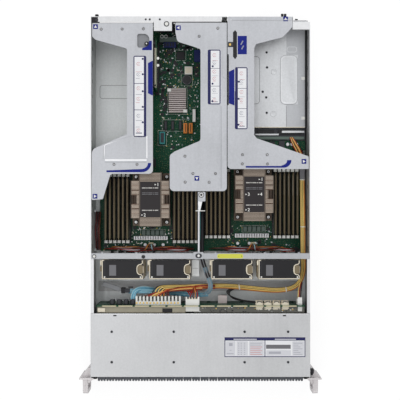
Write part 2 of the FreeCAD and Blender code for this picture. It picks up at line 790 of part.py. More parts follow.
def drive(index):
    """Drive carrier with a ribbed bezel, a release lever and the drive behind it."""
    x = (index + 0.5 - drive_count / 2) * drive_pitch
    low = cage_floor + bezel_gap
    high = low + drive_height
    front = -bezel_reach
    bezel = block(x - bezel_width / 2, x + bezel_width / 2, front + rib_relief, front + bezel_depth,
                  low, high)
    rib_pitch = bezel_width / bezel_ribs
    ribs = []
    for rib in range(bezel_ribs):
        left = x - bezel_width / 2 + rib * rib_pitch
        corners = [point(left + 0.5, front + rib_relief, low + 12),
                   point(left + 1.7, front, low + 12),
                   point(left + rib_pitch - 1.7, front, low + 12),
                   point(left + rib_pitch - 0.5, front + rib_relief, low + 12)]
        face = Part.Face(Part.makePolygon(corners + corners[:1]))
        ribs.append(face.extrude(point(0, 0, drive_height - 13)))
    lever = block(x - 4.5, x + 4.5, front - 0.4, front + rib_relief, low + 1.5, low + 10)
    carrier = block(x - carrier_width / 2, x + carrier_width / 2, front + bezel_depth,
                    front + bezel_depth + carrier_length, low, high)
    return join([bezel, lever, carrier] + ribs)


# ---- motherboard ----

def motherboard():
    """Board cut in to clear the power supplies and the left riser well."""
    outline = [(board_left, board_front, 3.0), (board_right, board_front, 3.0),
               (board_right, board_step_back, 3.0), (board_step_right, board_step_back, 3.0),
               (board_step_right, board_back, 3.0), (board_step_left, board_back, 3.0),
               (board_step_left, board_step_front, 3.0), (board_left, board_step_front, 3.0)]
    return outline_plate(outline, board_bottom, board_thick)


def memory_places():
    for first, front in memory_groups:
        for index in range(memory_per_group):
            yield first + index * memory_pitch, front


def memory_sockets():
    """Long sockets with a raised latch at each end."""
    parts = []
    half = memory_socket_width / 2
    for x, front in memory_places():
        back = front + memory_length
        socket = block(x - half, x + half, front, back, board_top, board_top + memory_socket_height)
        groove = block(x - memory_card_thick / 2, x + memory_card_thick / 2,
                       front + memory_latch_length, back - memory_latch_length,
                       board_top + memory_socket_height - 5, board_top + memory_socket_height + 1)
        latches = [block(x - half, x + half, y, y + memory_latch_length,
                         board_top, board_top + memory_latch_height)
                   for y in (front, back - memory_latch_length)]
        parts.append(join([socket] + latches).cut(groove))
    return Part.makeCompound(parts)


def memory_modules():
    """Memory cards that stand in the sockets."""
    parts = []
    half = memory_card_thick / 2
    bottom = board_top + memory_socket_height - 5
    for x, front in memory_places():
        start = front + memory_latch_length + slip
        end = front + memory_length - memory_latch_length - slip
        card = block(x - half, x + half, start, end, bottom, bottom + memory_card_height)
        chips = block(x - half - 1.2, x + half + 1.2, start + 4, end - 4,
                      bottom + 7, bottom + memory_card_height - 4)
        parts.append(join([card, chips]))
    return Part.makeCompound(parts)


def sink_plates(x, y, top):
    """Cover plates on the fins: one over the column, and one with a window and gaps on each wing."""
    column = sink_column / 2
    plates = [block(x - column, x + column, y - sink_length / 2, y + sink_length / 2,
                    top - plate_thick, top)]
    for side in (-1, 1):
        inner = x + side * (column + plate_gap)
        outer = x + side * sink_width / 2
        for low, high in ((-sink_wing / 2, -sink_split),
                          (-sink_split + plate_gap, sink_split - plate_gap),
                          (sink_split, sink_wing / 2)):
            plates.append(block(min(inner, outer), max(inner, outer), y + low, y + high,
                                top - plate_thick, top))
        window = block(min(outer - side * sink_window_width, outer + side),
                       max(outer - side * sink_window_width, outer + side),
                       y - sink_window_length / 2, y + sink_window_length / 2, top - 2, top + 1)
        plates[-2] = plates[-2].cut(window)
    return plates


def heatsink(x, y):
    """Finned processor cooler: seat, base, soldered fins, cover plates and four corner screws."""
    base_bottom = board_top + sink_seat
    base_top = base_bottom + sink_base
    top = board_top + sink_height
    column = sink_column / 2
    seat = block(x - column, x + column, y - plate_length / 2, y + plate_length / 2,
                 board_top, base_bottom)
    base = block(x - sink_width / 2, x + sink_width / 2, y - sink_length / 2, y + sink_length / 2,
                 base_bottom, base_top)
    parts = [join([seat, base])]
    count = int((sink_width - fin_thick) / fin_pitch)
    for index in range(count + 1):
        offset = (index - count / 2) * fin_pitch
        length = sink_length if abs(offset) <= column else sink_wing
        parts.append(block(x + offset - fin_thick / 2, x + offset + fin_thick / 2,
                           y - length / 2, y + length / 2, base_top, top - plate_thick))
    for across in (-1, 1):
        for along in (-1, 1):
            parts.append(pin(sink_screw_radius, sink_screw_height,
                             x + across * (sink_width / 2 - sink_screw_inset),
                             y + along * (sink_length / 2 - sink_screw_inset), base_top))
    return Part.makeCompound(parts + sink_plates(x, y, top))


def chip_block(x0, x1, y0, y1, height):
    return block(x0, x1, y0, y1, board_top, board_top + height)


def small_sink(x0, x1, y0, y1, height, count, along_x):
    """Low heat sink with a row of fins."""
    parts = [chip_block(x0, x1, y0, y1, 3)]
    for index in range(count):
        if along_x:
            pitch = (y1 - y0) / (count - 0.5)
            start = y0 + index * pitch
            parts.append(chip_block(x0, x1, start, start + pitch / 2, height))
        else:
            pitch = (x1 - x0) / (count - 0.5)
            start = x0 + index * pitch
            parts.append(chip_block(start, start + pitch / 2, y0, y1, height))
    return join(parts)


def riser_socket(card):
    """Upright slot on the board that takes a riser card's edge."""
    half = slot_connector_width / 2
    front = from_rear(card["card_front"])
    back = from_rear(card["card_back"])
    body = chip_block(card["card"] - half, card["card"] + half, front - 3, back + 3, 11)
    reach = riser_card_thick / 2 + slip
    groove = block(card["card"] - reach, card["card"] + reach,
                   front - slip, back + slip, board_top + riser_card_bottom_gap - slip, board_top + 12)
    return body.cut(groove)


def board_parts():
    """Chips, coils, connectors and ports on the motherboard."""
    left, right, ahead, behind, height = bridge_sink
    parts = [small_sink(left, right, from_rear(ahead), from_rear(behind), height,
                        bridge_fin_count, True)]
    for sink in regulator_sinks:
        parts.append(small_sink(*sink, regulator_fin_count, False))
    for chip in front_chips:
        parts.append(chip_block(*chip))
    for left, right, ahead, behind, height in rear_chips:
        parts.append(chip_block(left, right, from_rear(ahead), from_rear(behind), height))
    for first, front in coil_rows:
        for index in range(coil_count):
            left = first + index * coil_pitch
            parts.append(chip_block(left, left + coil_width, front, front + coil_depth, coil_height))
    for x, y in capacitor_places:
        parts.append(pin(capacitor_radius, capacitor_height, x, y, board_top))
    parts.append(pin(cell_radius, cell_height, cell_place[0], from_rear(cell_place[1]), board_top))
    for index in range(port_count):
        left = port_left + 1 + index * port_pitch
        parts.append(block(left, left + port_width, rear_inside - 18, body_depth, board_top,
                           port_top - 1))
    for values in (riser_left, riser_middle, riser_right):
        parts.append(riser_socket(values))
    return Part.makeCompound(parts)


def centre_strut():
    """Upright wall between the processors with a flat lip, a foot plate and a cable hook."""
    bottom = board_top
    top = bar_top
    foot_back = strut_back + strut_foot
    wall = block(strut_place, strut_place + strut_thick, strut_front, strut_back, bottom, top)
    lip = block(strut_place, strut_place + strut_lip, strut_front, strut_back,
                top - strut_thick, top)
    plate = [(strut_place, strut_back - strut_length / 3, 0), (strut_place + 9, strut_back, 0),
             (strut_place + 15, strut_back, 2), (strut_place + 15, foot_back, 2),
             (strut_place, foot_back, 2)]
    plate = outline_plate(plate, top - strut_thick, strut_thick)
    leg = block(strut_place, strut_place + strut_thick, strut_back, foot_back, bottom, top)
    hook_left = strut_place + strut_thick
    hook_right = hook_left + sleeve_width + 1.4
    hook_front = (strut_front + strut_back) / 2 + hook_length
    hook_back = hook_front + hook_length
    hook = block(hook_left, hook_right, hook_front, hook_back, strut_clip - 1.2, strut_clip)
    hook_end = block(hook_right - 1, hook_right, hook_front, hook_back, strut_clip, strut_clip + 5)
    return join([wall, lip, plate, leg, hook, hook_end])


# ---- power supplies ----

def psu_cage():
    """Sheet-metal tunnel for the power supplies, open at both ends."""
    outer = block(supply_cage_left, supply_cage_right, supply_cage_front, rear_inside,
                  sheet, supply_cage_top)
    inner = block(supply_cage_left + cage_sheet, supply_cage_right - cage_sheet,
                  supply_cage_front - 1, rear_inside + 1, 0, supply_cage_top - cage_sheet)
    pressings = []
    for left, right, ahead, behind in cage_pressings:
        corners = [(supply_cage_left + left, ahead, pressing_round),
                   (supply_cage_left + right, ahead, pressing_round),
                   (supply_cage_left + right, behind, pressing_round),
                   (supply_cage_left + left, behind, pressing_round)]
        pressings.append(outline_plate(placed(corners), supply_cage_top, pressing_height))
    return join([outer.cut(inner)] + pressings)


def supply_middle(index):
    return supply_left + supply_width / 2 + index * (supply_width + supply_gap)


def power_supply(index):
    """Power supply with a fan grille, an inlet, a latch and the ears for its handle."""
    x = supply_middle(index)
    half = supply_width / 2
    front = supply_back - supply_length
    z = (supply_bottom + supply_top) / 2
    body = block(x - half, x + half, front, supply_back, supply_bottom, supply_top)
    recess = pin(grille_radius, 8, x + bail_offset, supply_back - 7, z, (0, 1, 0))
    inlet = block(x + 11, x + 25, supply_back - 14, supply_back + 1, z - 12, z + 12)
    body = body.cut(recess).cut(inlet)
    hub = pin(5.5, 6.5, x + bail_offset, supply_back - 7.2, z, (0, 1, 0))
    bars = [block(x + bail_offset - grille_radius - 0.5, x + bail_offset + grille_radius + 0.5,
                  supply_back - 1.8, supply_back - 0.6, z + step - 0.6, z + step + 0.6)
            for step in (-9, -4.5, 0, 4.5, 9)]
    prongs = [block(x + 18 + dx - 1, x + 18 + dx + 1, supply_back - 14.5, supply_back - 4,
                    z + dz - 2.4, z + dz + 2.4) for dx, dz in ((-3, -6), (-3, 6), (3, 0))]
    latch = block(x + 12, x + 24, supply_back - 1, supply_back + 5,
                  supply_bottom + 1, supply_bottom + 4.5)
    tongue = block(x - 20, x + 20, front - 4, front + 1, z - 1, z + 1)
    return join([body, hub, latch, tongue] + bars + prongs + bail_ears(x))


def bail_pivot():
    """Height and depth of a handle's hinge line."""
    return supply_top - 6.0, supply_back + bail_bar / 2 + 0.4


def bail_ears(x):
    """Two ears on the power supply, each with a stub pin for the handle."""
    z, y = bail_pivot()
    ears = []
    for side in (-1, 1):
        outer = x + bail_offset + side * (bail_width / 2 - bail_bar - slip)
        inner = outer - side * 2.0
        ears.append(block(min(outer, inner), max(outer, inner), supply_back - 1,
                          y + bail_bar / 2, z - 2, z + 2))
        ears.append(pin(bail_pin, bail_bar + slip, outer, y, z, (side, 0, 0)))
    return ears


def supply_handle(index):
    """Bail handle that hangs flat against the power supply on two stub pins."""
    x = supply_middle(index) + bail_offset
    z, y = bail_pivot()
    half = bail_width / 2
    radius = bail_bar / 2
    parts = []
    bores = []
    for side in (-1, 1):
        outer = x + side * half
        inner = outer - side * bail_bar
        parts.append(block(min(outer, inner), max(outer, inner), y - radius, y + radius,
                           z - bail_drop, z))
        parts.append(pin(radius, bail_bar, min(outer, inner), y, z, (1, 0, 0)))
        bores.append(pin(bail_pin + pin_play, bail_bar + 2, min(outer, inner) - 1, y, z, (1, 0, 0)))
    parts.append(block(x - half, x + half, y - radius, y + radius,
                       z - bail_drop - bail_bar, z - bail_drop))
    return join(parts).cut(bores[0].multiFuse(bores[1:]))


# ---- risers ----

def riser_bracket(values):
    """Top plate, rear plate with slot windows and the flange that holds the card."""
    back = from_rear(values["back"])
    top_plate = outline_plate(placed(values["outline"]), riser_under, riser_sheet)
    if "hole" in values:
        top_plate = top_plate.cut(outline_plate(placed(values["hole"]), riser_under, riser_sheet))
    low = max(slot_centre(values["slots"] - 1) - slot_pitch / 2, values["rear_low"])
    rear = block(values["left"] + 2, values["right"] - 2, back - riser_sheet, back, low, riser_under)
    flange = values["flange"]
    inside = flange + riser_sheet * values["toward"]
    edge = block(min(flange, inside), max(flange, inside), from_rear(values["flange_front"]),
                 back - riser_sheet, riser_under - riser_flange, riser_under)
    bracket = join([top_plate, rear, edge])
    for index in range(values["slots"]):
        z = slot_centre(index)
        bracket = bracket.cut(block(values["slot_left"] + 5, values["slot_right"] - 5,
                                    back - riser_sheet - 1, back + 1,
                                    z - slot_window / 2, z + slot_window / 2))
    return bracket


def riser_card(values):
    """Upright card with its slot connectors."""
    card = values["card"]
    half = riser_card_thick / 2
    toward = values["toward"]
    back = from_rear(values["card_back"])
    parts = [block(card - half, card + half, from_rear(values["card_front"]), back,
                   board_top + riser_card_bottom_gap, riser_under - slip)]
    face = card + toward * half
    tip = face + toward * slot_connector_reach
    for index in range(values["slots"]):
        z = slot_centre(index)
        parts.append(block(min(face, tip), max(face, tip), back - slot_connector - 2, back - 2,
                           z - slot_connector_width / 2, z + slot_connector_width / 2))
    return join(parts)


def riser_spacers(values):
    """Spacers between the bracket's flange and the card."""
    half = riser_card_thick / 2
    card = values["card"]
    flange = values["flange"]
    inside = flange + riser_sheet * values["toward"]
    if card > flange:
        start = max(flange, inside)
        end = card - half
    else:
        start = card + half
        end = min(flange, inside)
    places = (from_rear(values["card_front"]) + 8, from_rear(values["card_back"]) - 8)
    return [pin(spacer_radius, end - start, start, y, riser_under - riser_flange / 2, (1, 0, 0))
            for y in places]


def riser(values):
    """Lift-out riser: bracket with slot covers, pull tab, screw heads and spacers, and the card."""
    parts = [riser_bracket(values)] + riser_spacers(values)
    back = from_rear(values["back"]) - riser_sheet
    for index in range(values["slots"]):
        z = slot_centre(index)
        reach = slot_window / 2 + 1.0
        parts.append(block(values["slot_left"], values["slot_right"], back - slot_cover_thick, back,
                           z - reach, z + reach))
    parts.append(outline_plate(placed(values["tab"]), riser_top, tab_thick))
    for x, ahead in values["screws"]:
        parts.append(pan_head(x, from_rear(ahead), riser_top, 2.4, tab_thick))
    return Part.makeCompound([join(parts), riser_card(values)])


# ---- cables ----

def power_harness():
    route = [(208.3, 396.7, 34), (208.3, 376, 34), (208.6, 352, 39), (208.3, 322, 43), (208.7, 282, 44),
             (208.8, 242, 45), (210.0, 205, 46), (197, 178, 47), (162, 170, 48), (112, 174, 48),
             (62, 180, 49), (16, 180, 49), (-28, 178, 53), (-60, 179, 61), (-77, 177, 67),
             (-77, 161.7, 67)]
    return cord_tube("power_harness", route, harness_radius)


def data_cable():
    route = [(-135.6, 154.3, 65), (-135.6, 168, 64), (-124, 176, 58), (-104, 174, 48), (-78, 168, 38),
             (-42, 163, 34), (-8, 161, 42), (14, 164, 55), (22, 180, 65), (16, 198, 65), (8, 218, 60),
             (1, 242, 53), (0.2, 272, 45), (0.5, 300, 42.5), (0.5, 322, 40), (1, 337, 30),
             (1.5, 346, 17.5), (1.5, 357.7, 17)]
    return cord_tube("data_cable", route, ribbon_radius)


# ---- all nodes ----

nodes = {
    "chassis_tray": chassis_tray(),
    "front_cover": front_cover(),
    "drive_cage": drive_cage(),
    "backplane": backplane(),
    "backplane_connectors": backplane_connectors(),
    "ear_left": mirrored(ear()),
    "ear_right": ear_right(),
    "power_button": button(1),
    "id_button": button(0),
    "screws": screws(),
    "fan_bar": fan_bar(),
    "motherboard": motherboard(),
    "memory_sockets": memory_sockets(),
    "memory_modules": memory_modules(),
    "heatsink_left": heatsink(*sink_left),
    "heatsink_right": heatsink(*sink_right),
    "board_parts": board_parts(),
    "centre_strut": centre_strut(),
    "psu_cage": psu_cage(),
    "riser_left": riser(riser_left),
    "riser_middle": riser(riser_middle),
    "riser_right": riser(riser_right),
    "power_harness": power_harness(),
    "data_cable": data_cable(),
}
for number, middle in enumerate(fan_centres, 1):
    nodes[f"fan_{number}"] = fan(middle)
    nodes[f"rotor_{number}"] = rotor(middle)
for number in range(supply_count):
    nodes[f"psu_{number + 1}"] = power_supply(number)
    nodes[f"psu_handle_{number + 1}"] = supply_handle(number)
for number in range(drive_count):
    nodes[f"drive_{number + 1:02d}"] = drive(number)

os.makedirs("parts", exist_ok=True)
for name, shape in nodes.items():
    shape.exportStep(f"parts/{name}.step")
print(len(nodes), "nodes")
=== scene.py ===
import bpy
import math
import random
from mathutils import Matrix, Vector


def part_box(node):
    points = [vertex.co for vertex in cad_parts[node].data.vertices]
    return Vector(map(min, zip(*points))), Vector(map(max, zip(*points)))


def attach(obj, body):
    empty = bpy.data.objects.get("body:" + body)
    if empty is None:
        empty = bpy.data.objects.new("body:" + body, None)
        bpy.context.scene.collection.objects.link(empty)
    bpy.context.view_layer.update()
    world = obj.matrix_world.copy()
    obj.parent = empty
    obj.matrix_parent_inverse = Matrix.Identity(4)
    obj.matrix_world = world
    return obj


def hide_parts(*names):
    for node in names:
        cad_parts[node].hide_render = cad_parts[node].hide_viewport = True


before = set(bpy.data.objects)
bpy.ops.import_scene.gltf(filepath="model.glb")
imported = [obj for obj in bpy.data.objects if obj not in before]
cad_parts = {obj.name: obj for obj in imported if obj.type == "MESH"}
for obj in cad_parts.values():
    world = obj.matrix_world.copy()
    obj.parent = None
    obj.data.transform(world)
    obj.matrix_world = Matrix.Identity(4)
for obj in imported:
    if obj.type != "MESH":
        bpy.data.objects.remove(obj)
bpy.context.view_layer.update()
print("frame loaded:", len(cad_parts), "nodes")

mm = 0.001  # in metres
random.seed(11)


class Wave:  # a shader socket that takes plain arithmetic
    def __init__(self, tree, socket):
        self.tree = tree
        self.socket = socket

    def maths(self, operation, first, second=None):
        node = self.tree.nodes.new("ShaderNodeMath")
        node.operation = operation
        for place, value in enumerate((first, second)):
            if isinstance(value, Wave):
                self.tree.links.new(value.socket, node.inputs[place])
            elif value is not None:
                node.inputs[place].default_value = value
        return Wave(self.tree, node.outputs[0])

    def __add__(self, other):
        return self.maths("ADD", self, other)

    def __sub__(self, other):
        return self.maths("SUBTRACT", self, other)

    def __mul__(self, other):
        return self.maths("MULTIPLY", self, other)

    def __gt__(self, other):
        return self.maths("GREATER_THAN", self, other)

    def __lt__(self, other):
        return self.maths("LESS_THAN", self, other)

    def __mod__(self, other):
        return self.maths("FLOORED_MODULO", self, other)

    def __abs__(self):
        return self.maths("ABSOLUTE", self)


class Finish:  # one material while its nodes are laid out
    def __init__(self, name, **constants):
        self.material = bpy.data.materials.new(name)
        self.material.use_nodes = True
        self.tree = self.material.node_tree
        self.shader = self.tree.nodes["Principled BSDF"]
        for socket, value in constants.items():
            self.shader.inputs[socket.replace("_", " ")].default_value = value
        self.place = self.node("ShaderNodeTexCoord", output="Object")

    def node(self, kind, settings=None, sockets=None, output=0):
        node = self.tree.nodes.new(kind)
        for key, value in (settings or {}).items():
            setattr(node, key, value)
        for key, value in (sockets or {}).items():
            if isinstance(value, Wave):
                self.tree.links.new(value.socket, node.inputs[key])
            else:
                node.inputs[key].default_value = value
        return Wave(self.tree, node.outputs[output])

    def noise(self, scale, detail=3.0, roughness=0.5, stretch=None):
        place = self.place
        if stretch:
            place = self.node("ShaderNodeVectorMath", {"operation": "MULTIPLY"},
                              {0: self.place, 1: stretch})
        return self.node("ShaderNodeTexNoise", None,
                         {"Vector": place, "Scale": scale, "Detail": detail, "Roughness": roughness})

    def cells(self, scale):
        return self.node("ShaderNodeTexVoronoi", None, {"Vector": self.place, "Scale": scale}, "Distance")

    def flatAxes(self):  # x and y
        split = self.node("ShaderNodeSeparateXYZ", None, {0: self.place})
        return [Wave(self.tree, split.socket.node.outputs[index]) for index in range(2)]

    def mix(self, factor, first, second):
        values = [value if isinstance(value, Wave) else (*value, 1) for value in (first, second)]
        return self.node("ShaderNodeMix", {"data_type": "RGBA"},
                         {0: factor, 6: values[0], 7: values[1]}, 2)

    def clamp(self, value, low, high, newLow=0.0, newHigh=1.0):
        return self.node("ShaderNodeMapRange", {"clamp": True},
                         {0: value, 1: low, 2: high, 3: newLow, 4: newHigh})

    def feed(self, socket, value):
        self.tree.links.new(value.socket, self.shader.inputs[socket])

    def bump(self, height, strength, distance=0.0002):
        self.feed("Normal", self.node("ShaderNodeBump", None,
                                      {"Strength": strength, "Distance": distance, "Height": height}))


def tone(red, green, blue):  # display values 0 to 255 as linear ones
    return tuple(value / 255 / 12.92 if value < 10.3 else ((value / 255 + 0.055) / 1.055) ** 2.4
                 for value in (red, green, blue))


def darker(colour, share):
    return tuple(value * share for value in colour)


def sheetMetal(name, colour, spangle=0.06, metallic=0.35, roughness=0.42):
    finish = Finish(name, Metallic=metallic)
    broad = finish.noise(9, 4, 0.55)
    grain = finish.noise(160, 2, 0.6, (1, 0.06, 1))
    flakes = finish.cells(260)
    shade = finish.clamp(broad * 0.6 + grain * 0.25 + flakes * spangle * 4, 0.3, 0.75)
    finish.feed("Base Color", finish.mix(shade, darker(colour, 0.86), darker(colour, 1.08)))
    finish.feed("Roughness", finish.clamp(grain + broad * 0.5, 0.5, 1.1,
                                          roughness - 0.08, roughness + 0.12))
    finish.bump(grain * 0.5 + flakes, 0.12, 0.0001)
    return finish.material


def mouldedPlastic(name, colour, roughness=0.48, variation=0.12, grain=900):
    finish = Finish(name, Specular_IOR_Level=0.22)
    cloud = finish.noise(45, 3)
    pits = finish.noise(grain, 2, 0.6)
    finish.feed("Base Color", finish.mix(cloud, darker(colour, 1 - variation),
                                         darker(colour, 1 + variation)))
    finish.feed("Roughness", finish.clamp(pits * 0.6 + cloud * 0.4, 0.3, 0.7,
                                          roughness - 0.07, roughness + 0.1))
    finish.bump(pits, 0.15, 0.0001)
    return finish.material


def castPaint(name, colour):
    finish = Finish(name, Metallic=0.25)
    cloud = finish.noise(30, 4)
    peel = finish.noise(700, 3, 0.6)
    finish.feed("Base Color", finish.mix(cloud, darker(colour, 0.9), darker(colour, 1.06)))
    finish.feed("Roughness", finish.clamp(peel, 0.35, 0.65, 0.38, 0.55))
    finish.bump(peel, 0.3, 0.00015)
    return finish.material


def circuitBoard(name, base, pitch=260):
    finish = Finish(name, Coat_Weight=0.03, Coat_Roughness=0.3, Specular_IOR_Level=0.15)
    x, y = finish.flatAxes()
    route = finish.noise(38, 2)
    across = finish.clamp(abs((x * pitch + route * 3) % 1 - 0.5), 0.16, 0.24)
    along = finish.clamp(abs((y * pitch + route * 3) % 1 - 0.5), 0.16, 0.24)
    patch = finish.node("ShaderNodeTexVoronoi", {"distance": "CHEBYCHEV"},
                        {"Vector": finish.place, "Scale": 55.0}, "Color")
    choose = finish.node("ShaderNodeSeparateColor", None, {0: patch})
    tracks = across * (choose > 0.5) + along * (choose < 0.5)
    dots = finish.clamp(finish.cells(420), 0.12, 0.2)
    cloud = finish.noise(20, 3)
    lit = finish.mix(tracks, darker(base, 1.45), darker(base, 0.8))
    worn = finish.mix(cloud * 0.5, lit, darker(base, 0.65))
    finish.feed("Base Color", finish.mix(dots, tone(168, 160, 110), worn))
    finish.feed("Roughness", finish.clamp(cloud, 0.3, 0.7, 0.34, 0.5))
    finish.bump(tracks + dots, 0.2, 0.0001)
    return finish.material


def finMetal(name, colour):
    finish = Finish(name, Metallic=0.45)
    cloud = finish.noise(25, 4)
    streak = finish.noise(300, 2, 0.5, (1, 0.08, 0.3))
    finish.feed("Base Color", finish.mix(cloud * 0.6 + streak * 0.4, darker(colour, 0.8),
                                         darker(colour, 1.12)))
    finish.feed("Roughness", finish.clamp(streak, 0.3, 0.7, 0.32, 0.5))
    finish.bump(streak, 0.1, 0.0001)
    return finish.material


def cableJacket(name, colour, roughness=0.42):
    finish = Finish(name, Specular_IOR_Level=0.3)
    cloud = finish.noise(60, 3)
    fine = finish.noise(1200, 2)
    finish.feed("Base Color", finish.mix(cloud, darker(colour, 0.82), darker(colour, 1.12)))
    finish.feed("Roughness", finish.clamp(fine, 0.35, 0.65, roughness - 0.06, roughness + 0.1))
    finish.bump(fine, 0.1, 0.00008)
    return finish.material


def printedLabel(name, colour, roughness=0.35):
    finish = Finish(name, Specular_IOR_Level=0.25)
    cloud = finish.noise(70, 3)
    fibre = finish.noise(1500, 2)
    finish.feed("Base Color", finish.mix(cloud * 0.5 + fibre * 0.3, darker(colour, 0.93),
                                         darker(colour, 1.04)))
    finish.feed("Roughness", finish.clamp(fibre, 0.3, 0.7, roughness - 0.05, roughness + 0.08))
    finish.bump(fibre, 0.06, 0.00005)
    return finish.material


finishes = {
    "steel": sheetMetal("Galvanised steel", tone(170, 170, 171)),
    "coverSteel": sheetMetal("Front cover steel", tone(190, 191, 193), 0.04),
    "bracketSteel": sheetMetal("Bracket steel", tone(180, 182, 187), 0.05),
    "barSteel": sheetMetal("Cross bar steel", tone(170, 172, 176), 0.04),
    # the folded edge and floor steels are lighter copies of the tray steel, for faces that look up: painted
    # light
    "lipSteel": sheetMetal("Folded edge steel in painted light", tone(210, 211, 213), 0.04),
    "floorSteel": sheetMetal("Floor steel in painted light", tone(208, 211, 212), 0.05),
    "wallSteel": sheetMetal("Wall steel", tone(176, 178, 178), 0.05),
    "foldLight": sheetMetal("Fold in light", tone(238, 239, 241), 0.0),
    "foldShade": sheetMetal("Fold in shade", tone(128, 130, 134), 0.0),
    "supplyShade": sheetMetal("Supply case in shade", tone(178, 180, 184), 0.04),
    "shelfTone": mouldedPlastic("Backplane edge", tone(170, 164, 146), 0.5, 0.2),
    "barShade": mouldedPlastic("Backplane parts edge", tone(104, 104, 98), 0.5, 0.25),
    # the cream holder darkened, painted shade for its finger notch and the gaps beside the fans
    "recessShade": mouldedPlastic("Grip shade", tone(128, 116, 94)),
    "plated": sheetMetal("Plated screw steel", tone(205, 205, 205), 0.0, 0.8, 0.3),
    "cast": castPaint("Ear casting", tone(204, 200, 201)),
    "pcb": circuitBoard("Main board mask", tone(4, 66, 44)),
    "cardPcb": circuitBoard("Card mask", tone(24, 62, 44), 500),
    "black": mouldedPlastic("Black plastic", tone(30, 30, 33)),
    "slate": mouldedPlastic("Slate plastic", tone(56, 57, 62)),
    "chip": mouldedPlastic("Chip package", tone(38, 38, 42), 0.4, 0.08, 600),
    "cream": mouldedPlastic("Cream plastic", tone(232, 223, 203)),
    "ivory": mouldedPlastic("Ivory sockets", tone(214, 204, 172)),
    "white": mouldedPlastic("White plastic", tone(232, 232, 228)),
    "blue": mouldedPlastic("Blue grip plastic", tone(8, 26, 118)),
    "darkBlue": mouldedPlastic("Dark blue connector", tone(30, 40, 92)),
    "teal": mouldedPlastic("Teal connector", tone(60, 140, 142)),
    "orange": mouldedPlastic("Orange connector", tone(196, 120, 52)),
    "bezel": mouldedPlastic("Drive bezel", tone(74, 76, 82), 0.42),
    "bezelRim": mouldedPlastic("Drive bezel rim", tone(150, 151, 156), 0.38),
    "coil": mouldedPlastic("Choke body", tone(98, 112, 106), 0.5),
    "can": finMetal("Capacitor can", tone(205, 205, 208)),
    "gold": finMetal("Gold contact", tone(214, 178, 96)),
    "fins": finMetal("Cooler fins", tone(84, 74, 65)),
    # a lighter copy of the fin metal for the stripes along the fin edges: painted highlight
    "finHighlight": finMetal("Cooler fin edges in painted highlight", tone(178, 164, 150)),
    "finEdge": finMetal("Cooler fins in shade", tone(92, 78, 66)),
    # a dark copy of the fin metal for the gaps between fin groups and the fins deep in the windows: painted
    # shade
    "deepFinShade": finMetal("Cooler window fins and gaps in painted shade", tone(74, 50, 36)),
    "moduleEdge": finMetal("Module edge", tone(88, 76, 54)),
    "sinkGrey": finMetal("Grey cooler", tone(178, 168, 166)),
    "plate": mouldedPlastic("Cooler top label", tone(38, 34, 36), 0.42),
    "print": printedLabel("Pale print", tone(190, 188, 184)),
    "fanTop": mouldedPlastic("Fan cover", tone(26, 25, 28), 0.4),
    "darkRed": cableJacket("Dark red wire", tone(92, 26, 28)),
    "supplyCase": sheetMetal("Supply case", tone(200, 202, 205)),
    "yellowWire": cableJacket("Yellow wire", tone(238, 206, 122)),
    "blackWire": cableJacket("Black wire", tone(34, 32, 34)),
    "brownWire": cableJacket("Brown wire", tone(104, 62, 44)),
    "paleWire": cableJacket("Pale blue wire", tone(168, 206, 216)),
    "orangeWire": cableJacket("Orange wire", tone(206, 128, 58)),
    "slateWire": cableJacket("Slate blue wire", tone(120, 148, 162)),
    "redWire": cableJacket("Red wire", tone(150, 34, 30)),
    "blueWire": cableJacket("Light blue ribbon", tone(112, 172, 198)),
    "greyWire": cableJacket("Grey wire", tone(150, 152, 156)),
    "label": printedLabel("White label", tone(238, 239, 242)),
    "navy": printedLabel("Navy print", tone(32, 34, 84)),
    "greyPrint": printedLabel("Grey print", tone(150, 152, 166)),
    "rosePrint": printedLabel("Rose print", tone(206, 152, 156)),
    "panelPrint": printedLabel("Grey panel print", tone(214, 215, 221)),
    "finePrint": printedLabel("Fine grey print", tone(176, 177, 186)),
    "limeLabel": printedLabel("Lime label", tone(212, 212, 84)),
    "sticker": printedLabel("Grey sticker", tone(112, 112, 116)),
    "led": mouldedPlastic("Light pipe", tone(120, 190, 130), 0.2),
}
print("finishes:", len(finishes))


def clear():  # nothing selected, object mode
    if bpy.context.object and bpy.context.object.mode != "OBJECT":
        bpy.ops.object.mode_set(mode="OBJECT")
    bpy.ops.object.select_all(action="DESELECT")


def choose(*things):
    clear()
    for thing in things:
        thing.select_set(True)
    bpy.context.view_layer.objects.active = things[0]


def settle(thing):  # the place and the size go into the mesh
    choose(thing)
    bpy.ops.object.transform_apply(location=True, rotation=True, scale=True)
    return thing


def blockPiece(low, high, look, bevel=0.0, segments=1):  # low and high corners in mm
    clear()
    size = [(b - a) * mm for a, b in zip(low, high)]
    middle = [(a + b) / 2 * mm for a, b in zip(low, high)]
    bpy.ops.mesh.primitive_cube_add(size=1, location=middle, scale=size)
    thing = settle(bpy.context.object)
    thing.data.materials.append(finishes[look])
    if bevel:
        bevelEdges(thing, bevel, segments)
    return thing


def roundPiece(radius, low, length, look, axis="Z", sides=16, bevel=0.0):  # low end's middle in mm
    clear()
    turn = {"X": (0, math.pi / 2, 0), "Y": (math.pi / 2, 0, 0), "Z": (0, 0, 0)}[axis]
    middle = Vector(low)
    middle["XYZ".index(axis)] += length / 2
    bpy.ops.mesh.primitive_cylinder_add(vertices=sides, radius=radius * mm, depth=length * mm,
                                        location=middle * mm, rotation=turn)
    thing = settle(bpy.context.object)
    thing.data.materials.append(finishes[look])
    if bevel:
        bevelEdges(thing, bevel, 1, 0.8)
    return thing


def bevelEdges(thing, width, segments=1, angle=0.6):
    choose(thing)
    modifier = thing.modifiers.new("edges", "BEVEL")
    modifier.width = width * mm
    modifier.segments = segments
    modifier.limit_method = "ANGLE"
    modifier.angle_limit = angle
    bpy.ops.object.modifier_apply(modifier="edges")
    return thing


